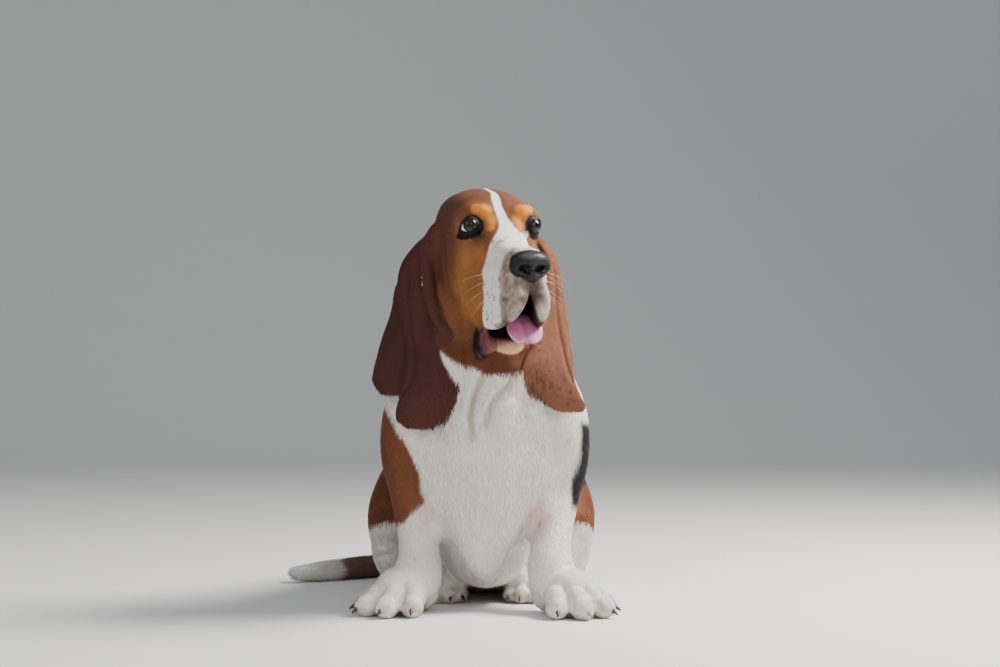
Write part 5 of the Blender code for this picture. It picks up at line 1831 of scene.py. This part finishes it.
@dataclass(frozen=True)
class Eyeball:
    """Both eyes: a dark iris under a clear cornea, and the white beside it."""

    gaze: Row = (0.962, -0.215, 0.125)
    iris: float = 0.009
    pupil: float = 0.0042
    cornea: float = 0.0006

    def colours(self, axis_angle: np.ndarray, around: np.ndarray) -> np.ndarray:
        """Pupil, streaked iris, its dark edge and the white, by the distance from the middle of the iris."""
        reach = np.sin(np.minimum(axis_angle, np.pi / 2)) * EYES.radius
        streak = 0.5 + 0.5 * np.sin(around * 46 + 3 * np.sin(around * 7)) * np.sin(around * 29)
        brown = tone(26, 14, 10) + (tone(54, 30, 20) - tone(26, 14, 10)) * streak[:, None]
        colour = np.repeat(tone(222, 210, 206)[None], len(reach), axis=0)
        colour = Markings.lay(colour, tone(116, 88, 78), ramp(reach, self.iris + 0.0012, self.iris))
        colour = Markings.lay(colour, brown, ramp(reach, self.iris + 0.0003, self.iris - 0.0003))
        colour = Markings.lay(colour, tone(16, 9, 7), ramp(reach, self.iris - 0.0022, self.iris - 0.0003)
                              * ramp(reach, self.iris + 0.0006, self.iris))
        return Markings.lay(colour, tone(5, 4, 4), ramp(reach, self.pupil + 0.0004, self.pupil - 0.0002))

    def build(self, finishes: Finishes) -> None:
        """Makes both eyeballs and the dark rims of their lids."""
        rows, size = 72, 72
        tilt = np.pi * (0.004 + 0.992 * (np.arange(rows) / (rows - 1)) ** 1.3)
        turns = TAU * np.arange(size) / size
        toward = np.stack([np.outer(np.cos(tilt), np.ones(size)), np.outer(np.sin(tilt), np.cos(turns)),
                           np.outer(np.sin(tilt), np.sin(turns))], axis=-1)
        bulge = self.cornea * ramp(np.sin(np.minimum(tilt, np.pi / 2)) * EYES.radius, self.iris * 1.05, 0)
        rings = toward * (EYES.radius + bulge)[:, None, None]
        for side in Side:
            ahead = unit(np.array(self.gaze) * (1, side.value, 1))
            across = unit(np.cross((0, 0, 1), ahead))
            look = np.eye(4)
            look[:3, :3] = np.stack([ahead, across, np.cross(ahead, across)], axis=1)
            clay = Clay()
            clay.rings(rings, shift(*SHIFT) @ EYES.place(side) @ look)
            mesh = clay.mesh(f"eyeball_{side.name.lower()}")
            mesh.shade_smooth()
            axis_angle, around = np.repeat(tilt, size), np.tile(turns, rows)
            set_colours(mesh, self.colours(axis_angle, around))
            piece = placed(mesh.name, mesh, finishes.eye)
            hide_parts(f"eye_{side.name.lower()}")
            self.rim(side, finishes)

    @staticmethod
    def rim(side: Side, finishes: Finishes) -> None:
        """The moist dark edge of one eye's lids."""
        line = LIDS.outline()
        outward, up = line.T * 0.985
        ahead = np.sqrt(np.maximum(1 - outward**2 - up**2, 0.02))
        path = unit(np.stack([ahead, side.value * outward, up], axis=1)) * (EYES.radius + 0.35 * MM)
        clay = Clay()
        along = unit(np.roll(path, -1, axis=0) - np.roll(path, 1, axis=0))
        outer = unit(path)
        across = np.cross(along, outer)
        rings = np.stack([oval(p, a * 0.75 * MM, o * 0.65 * MM, count=12) for p, a, o in zip(path, across, outer)])
        rings = np.concatenate([rings, rings[:1]])
        clay.rings(rings, shift(*SHIFT) @ EYES.place(side))
        mesh = clay.mesh(f"lid_rim_{side.name.lower()}")
        mesh.shade_smooth()
        placed(mesh.name, mesh, finishes.rim)


@dataclass(frozen=True)
class Nose:
    """Nose leather with its wings, nostrils and the groove between them, in head axes."""

    balls: tuple[tuple[Row, Row], ...] = (
        ((0.1335, 0.0, -0.0045), (0.0155, 0.027, 0.0135)),
        ((0.1345, 0.0135, -0.0115), (0.0125, 0.0145, 0.014)),
        ((0.1345, -0.0135, -0.0115), (0.0125, 0.0145, 0.014)),
        ((0.1345, 0.0, -0.021), (0.0115, 0.015, 0.0145)),
    )
    voxel: float = 0.0009
    nostril: tuple[Row, ...] = ((0.1465, 0.0085, -0.016), (0.1475, 0.012, -0.014), (0.1455, 0.016, -0.013))
    slit: tuple[Row, ...] = ((0.145, 0.017, -0.0145), (0.1425, 0.0205, -0.0165), (0.138, 0.0238, -0.0185),
                             (0.133, 0.0262, -0.0185))
    groove: tuple[Row, ...] = ((0.149, 0, -0.01), (0.148, 0, -0.018), (0.145, 0, -0.027), (0.14, 0, -0.036))

    def build(self, finishes: Finishes) -> None:
        """Makes the nose."""
        clay = Clay()
        for centre, radii in self.balls:
            clay.ball(centre, radii, HEAD)
        web = fused(clay.mesh("nose"), self.voxel)
        web.relax(1.0, 6)
        normals = web.normals()
        colour = np.repeat(tone(10, 10, 14)[None], len(web.points), axis=0)
        pale = noise(web.points, 0.006, 81)
        colour = colour * (1 + 0.25 * pale)[:, None]
        # Painted shade: the nostrils' openings are painted near black, darker than the leather, where shade falls
        # into them
        for side in Side:
            path = moved(HEAD, np.array(self.nostril) * (1, side.value, 1))
            away, _ = path_distance(web.points, path)
            colour = Markings.lay(colour, tone(2, 2, 2), ramp(away, 0.0064, 0.0046))
        for stroke in (Stroke(self.nostril, -8.5, 4.2, paired=True, fade=0),
                       Stroke(self.slit, -2.6, 1.6, paired=True), Stroke(self.groove, -1.2, 1.3)):
            stroke.apply(web, normals)
        web.relax(1.0, 1)
        web.points = web.points + SHIFT
        mesh = web.mesh("nose_leather")
        set_colours(mesh, colour)
        piece = placed(mesh.name, mesh, finishes.nose)
        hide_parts("nose")


@dataclass(frozen=True)
class Tongue:
    """A flat tongue that hangs over the lower lip, in head axes.

    The stations run from the root to the tip: forward, left, up, half width and half thickness.
    """

    stations: tuple[Row, ...] = (
        (0.03, 0.003, -0.094, 0.016, 0.0045), (0.06, 0.005, -0.086, 0.021, 0.005),
        (0.084, 0.007, -0.08, 0.024, 0.0048), (0.099, 0.0085, -0.087, 0.0255, 0.0042),
        (0.106, 0.008, -0.094, 0.0245, 0.0038),
    )
    cup: float = 0.0035
    groove: float = 0.0016
    tip: float = 0.0238
    notch: float = 0.0096
    tip_rows: int = 10

    def build(self, finishes: Finishes) -> None:
        """Makes the tongue."""
        line = curve(self.stations, 10)
        along = unit(np.gradient(line[:, :3], axis=0))
        across = unit(np.array([0, 1.0, 0]) - along * along[:, 1:2])
        over = np.cross(along, across)
        turns = TAU * np.arange(64) / 64
        rings = []
        for spot, side, rise in zip(line, across, over):
            sideways = np.cos(turns)
            height = np.sign(np.sin(turns)) * np.abs(np.sin(turns)) ** 0.8 * spot[4]
            height = height + self.cup * (spot[3] / 0.025) * (sideways**2 - 0.4)
            height -= np.where(np.sin(turns) > 0, self.groove * np.exp(-(sideways * spot[3] / 0.0022) ** 2), 0)
            rings.append(spot[:3] + np.outer(sideways * spot[3], side) + np.outer(height, rise))
        sideways = np.cos(turns)
        reach = self.tip * np.maximum(1 - np.abs(sideways) ** 2.2, 0) ** (1 / 2.2)
        reach -= self.notch * np.exp(-(sideways / 0.24) ** 2) + 0.0016 * sideways * (1 - sideways**2)
        last, down = rings[-1], unit(along[-1] + (0.1, 0, -0.3))
        middle = last.mean(axis=0)
        for step in np.linspace(0, 1, self.tip_rows + 1)[1:]:
            flat = (last - middle) @ over[-1]
            thinner = np.outer(flat * 0.65 * step**2, over[-1])
            rings.append(last + np.outer(reach * math.sin(step * math.pi / 2), down) - thinner)
        line = np.concatenate([line, np.repeat(line[-1:], self.tip_rows, axis=0)])
        clay = Clay()
        clay.rings(np.stack(rings), shift(*SHIFT) @ HEAD)
        mesh = clay.mesh("tongue_skin")
        mesh.shade_smooth()
        points = np.concatenate(clay.points)
        shade = 0.5 + 0.5 * noise(points, 0.008, 91)
        reach = np.repeat(np.linspace(0, 1, len(line)), 64)
        colour = tone(208, 126, 168) + (tone(180, 92, 138) - tone(208, 126, 168)) * shade[:, None]
        # Painted highlight: the tip is paler
        colour = Markings.lay(colour, tone(224, 160, 190), 0.5 * ramp(reach, 0.82, 1.0))
        # Painted shade: darker towards the root, inside the mouth
        colour = Markings.lay(colour, tone(120, 52, 78), ramp(reach, 0.6, 0.15))
        # Painted shade along the groove down the middle
        middle = np.abs(np.tile(np.cos(turns), len(line)))
        colour = Markings.lay(colour, tone(158, 88, 116), 0.6 * ramp(middle, 0.12, 0.02))
        set_colours(mesh, colour)
        piece = placed(mesh.name, mesh, finishes.tongue)
        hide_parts("tongue")


@dataclass(frozen=True)
class Claws:
    """Blunt curved claws at the tips of the toes."""

    fore_length: float = 0.013
    hind_length: float = 0.011
    fore_radius: float = 0.0038
    hind_radius: float = 0.0032

    @staticmethod
    def lay(clay: Clay, root: np.ndarray, way: np.ndarray, length: float, radius: float) -> None:
        """Adds one claw, rooted in the toe and bent to the floor."""
        across = np.cross((0, 0, 1), way)
        steps = np.linspace(0, 1, 9)
        line = root + np.outer(steps, way) * length + np.outer(0.15 * steps - 0.55 * steps**2, (0, 0, 1)) * length
        line[:, 2] = np.maximum(line[:, 2], 1.3 * MM)
        along = unit(np.gradient(line, axis=0))
        size = radius * np.array([0.92, 1.0, 0.98, 0.9, 0.8, 0.68, 0.55, 0.4, 0.2])
        rings = [oval(p, across * r * 0.85, np.cross(a, across) * r, count=16) for p, a, r in zip(line, along, size)]
        clay.rings(np.stack(rings), shift(*SHIFT))

    def build(self, finishes: Finishes) -> None:
        """Makes the claws of each paw as one mesh."""
        for side in Side:
            for leg, length, radius, name in ((Foreleg(), self.fore_length, self.fore_radius, "fore"),
                                              (HindLeg(), self.hind_length, self.hind_radius, "hind")):
                clay = Clay()
                for index, reach in enumerate(leg.toes.reaches):
                    way = leg.toes.way(side, index)
                    thick = leg.toes.thick
                    root = np.array(leg.heel(side)) * (1, 1, 0) + way * (reach * 0.92 + thick * 0.62)
                    self.lay(clay, root + (0, 0, thick * 0.6), way, length, radius)
                mesh = clay.mesh(f"claws_{name}_{side.name.lower()}")
                mesh.shade_smooth()
                points = np.concatenate(clay.points)
                pale = np.repeat(np.arange(len(points)) // (9 * 16), 1)
                horn = (pale == 1) & (side is Side.LEFT) & (name == "fore")
                colour = np.where(horn[:, None], tone(176, 138, 92), tone(52, 42, 40))
                colour = colour * (1 + 0.3 * noise(points, 0.003, 95))[:, None]
                set_colours(mesh, colour)
                placed(mesh.name, mesh, finishes.claw)


@dataclass(frozen=True)
class Whiskers:
    """Thin bent whiskers on the muzzle, in head axes."""

    roots: tuple[tuple[Row, Row, float], ...] = (
        ((0.112, 0.03, -0.02), (0.25, 1.0, 0.05), 0.04), ((0.104, 0.031, -0.028), (0.1, 1.0, -0.15), 0.044),
        ((0.116, 0.0285, -0.032), (0.35, 1.0, -0.2), 0.038), ((0.098, 0.0335, -0.04), (0.0, 1.0, -0.35), 0.042),
        ((0.108, 0.031, -0.045), (0.2, 0.9, -0.5), 0.036), ((0.092, 0.035, -0.024), (-0.1, 1.0, 0.0), 0.04),
        ((0.12, 0.026, -0.044), (0.5, 0.8, -0.5), 0.03), ((0.09, 0.035, -0.052), (-0.1, 0.9, -0.6), 0.034),
    )
    thick: float = 0.00015

    def build(self, finishes: Finishes) -> None:
        """Makes all whiskers as one mesh."""
        clay = Clay()
        random = np.random.default_rng(17)
        steps = np.linspace(0, 1, 8)
        for side in Side:
            for root, way, length in self.roots:
                flip = (1, side.value, 1)
                ahead = unit((np.array(way) + 0.1 * random.standard_normal(3)) * flip)
                sag = np.outer(steps**2, (0, 0, -0.22))
                line = np.array(root) * flip + (np.outer(steps, ahead) + sag) * length - ahead * 0.003
                along = unit(np.gradient(line, axis=0))
                across = unit(np.cross(along, (0.3, 0.1, 1.0)))
                size = self.thick * (1.05 - 0.85 * steps)
                rings = [oval(p, a * r, np.cross(d, a) * r, count=6) for p, d, a, r in zip(line, along, across, size)]
                clay.rings(np.stack(rings), shift(*SHIFT) @ HEAD)
        mesh = clay.mesh("whiskers")
        mesh.shade_smooth()
        placed(mesh.name, mesh, finishes.whisker)


@dataclass(frozen=True)
class Studio:
    """Floor, lights and camera."""

    eye_point: Row = (0.02, -2.5, 0.31)
    lens: float = 68.8
    tilt: float = 1.24
    sensor: float = 36.0

    def build(self, finishes: Finishes) -> None:
        """Sets up everything that isn't the dog."""
        self.floor(finishes)
        self.light("key", (1.5, 0.15, 1.9), (0.0, 0.05, 0.3), 0.9, 150, (1.0, 0.975, 0.94))
        self.light("fill", (-1.6, -1.8, 1.4), (0.0, 0.0, 0.25), 2.2, 20, (0.9, 0.94, 1.0))
        self.light("front", (0.9, -2.4, 1.6), (0.0, 0.0, 0.35), 1.6, 22, (1.0, 0.98, 0.96))
        world = bpy.data.worlds.new("studio")
        bpy.context.scene.world = world
        world.use_nodes = True
        world.node_tree.nodes["Background"].inputs["Color"].default_value = (0.9, 0.94, 1.0, 1.0)
        world.node_tree.nodes["Background"].inputs["Strength"].default_value = 0.38
        self.camera()

    @staticmethod
    def floor(finishes: Finishes) -> None:
        """A floor that curves up far behind the dog."""
        bend = np.radians(np.linspace(0, 90, 61))
        flat = np.linspace(-6.0, 3.9, 34)
        wall = np.linspace(2.6, 6.0, 12)
        profile = [*((y, 0.0) for y in flat), *zip(4.0 + 2.5 * np.sin(bend), 2.5 - 2.5 * np.cos(bend)),
                   *((6.5, z) for z in wall)]
        verts = [(x, y, z) for x in (-7.0, 7.0) for y, z in profile]
        n = len(profile)
        mesh = bpy.data.meshes.new("floor")
        mesh.from_pydata(verts, [], [(i, n + i, n + i + 1, i + 1) for i in range(n - 1)])
        mesh.shade_smooth()
        mesh.materials.append(finishes.floor)
        floor = bpy.data.objects.new("floor", mesh)
        bpy.context.scene.collection.objects.link(floor)

    @staticmethod
    def light(name: str, at: Row, to: Row, size: float, power: float, colour: Row) -> None:
        """A soft square light."""
        data = bpy.data.lights.new(name, "AREA")
        data.shape, data.size, data.energy, data.color = "SQUARE", size, power, colour
        made = bpy.data.objects.new(name, data)
        bpy.context.scene.collection.objects.link(made)
        spot = np.array(at) + SHIFT
        made.location = spot
        away = unit(spot - np.array(to) - SHIFT)
        flat = math.hypot(away[0], away[1])
        made.rotation_euler = (math.atan2(flat, away[2]), 0, math.atan2(away[0], -away[1]))

    def camera(self) -> None:
        """The camera at the photograph's place."""
        data = bpy.data.cameras.new("camera")
        data.sensor_width, data.lens = self.sensor, self.lens
        made = bpy.data.objects.new("camera", data)
        bpy.context.scene.collection.objects.link(made)
        made.location = np.array(self.eye_point) + SHIFT
        made.rotation_euler = (math.radians(90 + self.tilt), 0, 0)
        bpy.context.scene.camera = made


def report(label: str, piece: bpy.types.Object) -> None:
    """Writes a piece's size to the log."""
    LOG.info("%s: %d points, %d faces", label, len(piece.data.vertices), len(piece.data.polygons))


def main() -> None:
    """Builds the dog and its stage."""
    logging.basicConfig(level=logging.INFO, format="%(name)s: %(message)s")
    finishes = Finishes()
    markings = Markings()
    skin = Skin(CoatMap())
    skin.shape()
    base = skin.build(markings, finishes.skin)
    report("skin", base)
    for piece in Tufts(skin, markings).build(finishes.hair):
        report("coat", piece)
    for part in (Eyeball(), Nose(), Tongue(), Claws(), Whiskers()):
        part.build(finishes)
        LOG.info("%s built", type(part).__name__)
    Studio().build(finishes)


if __name__ == "__main__":
    main()
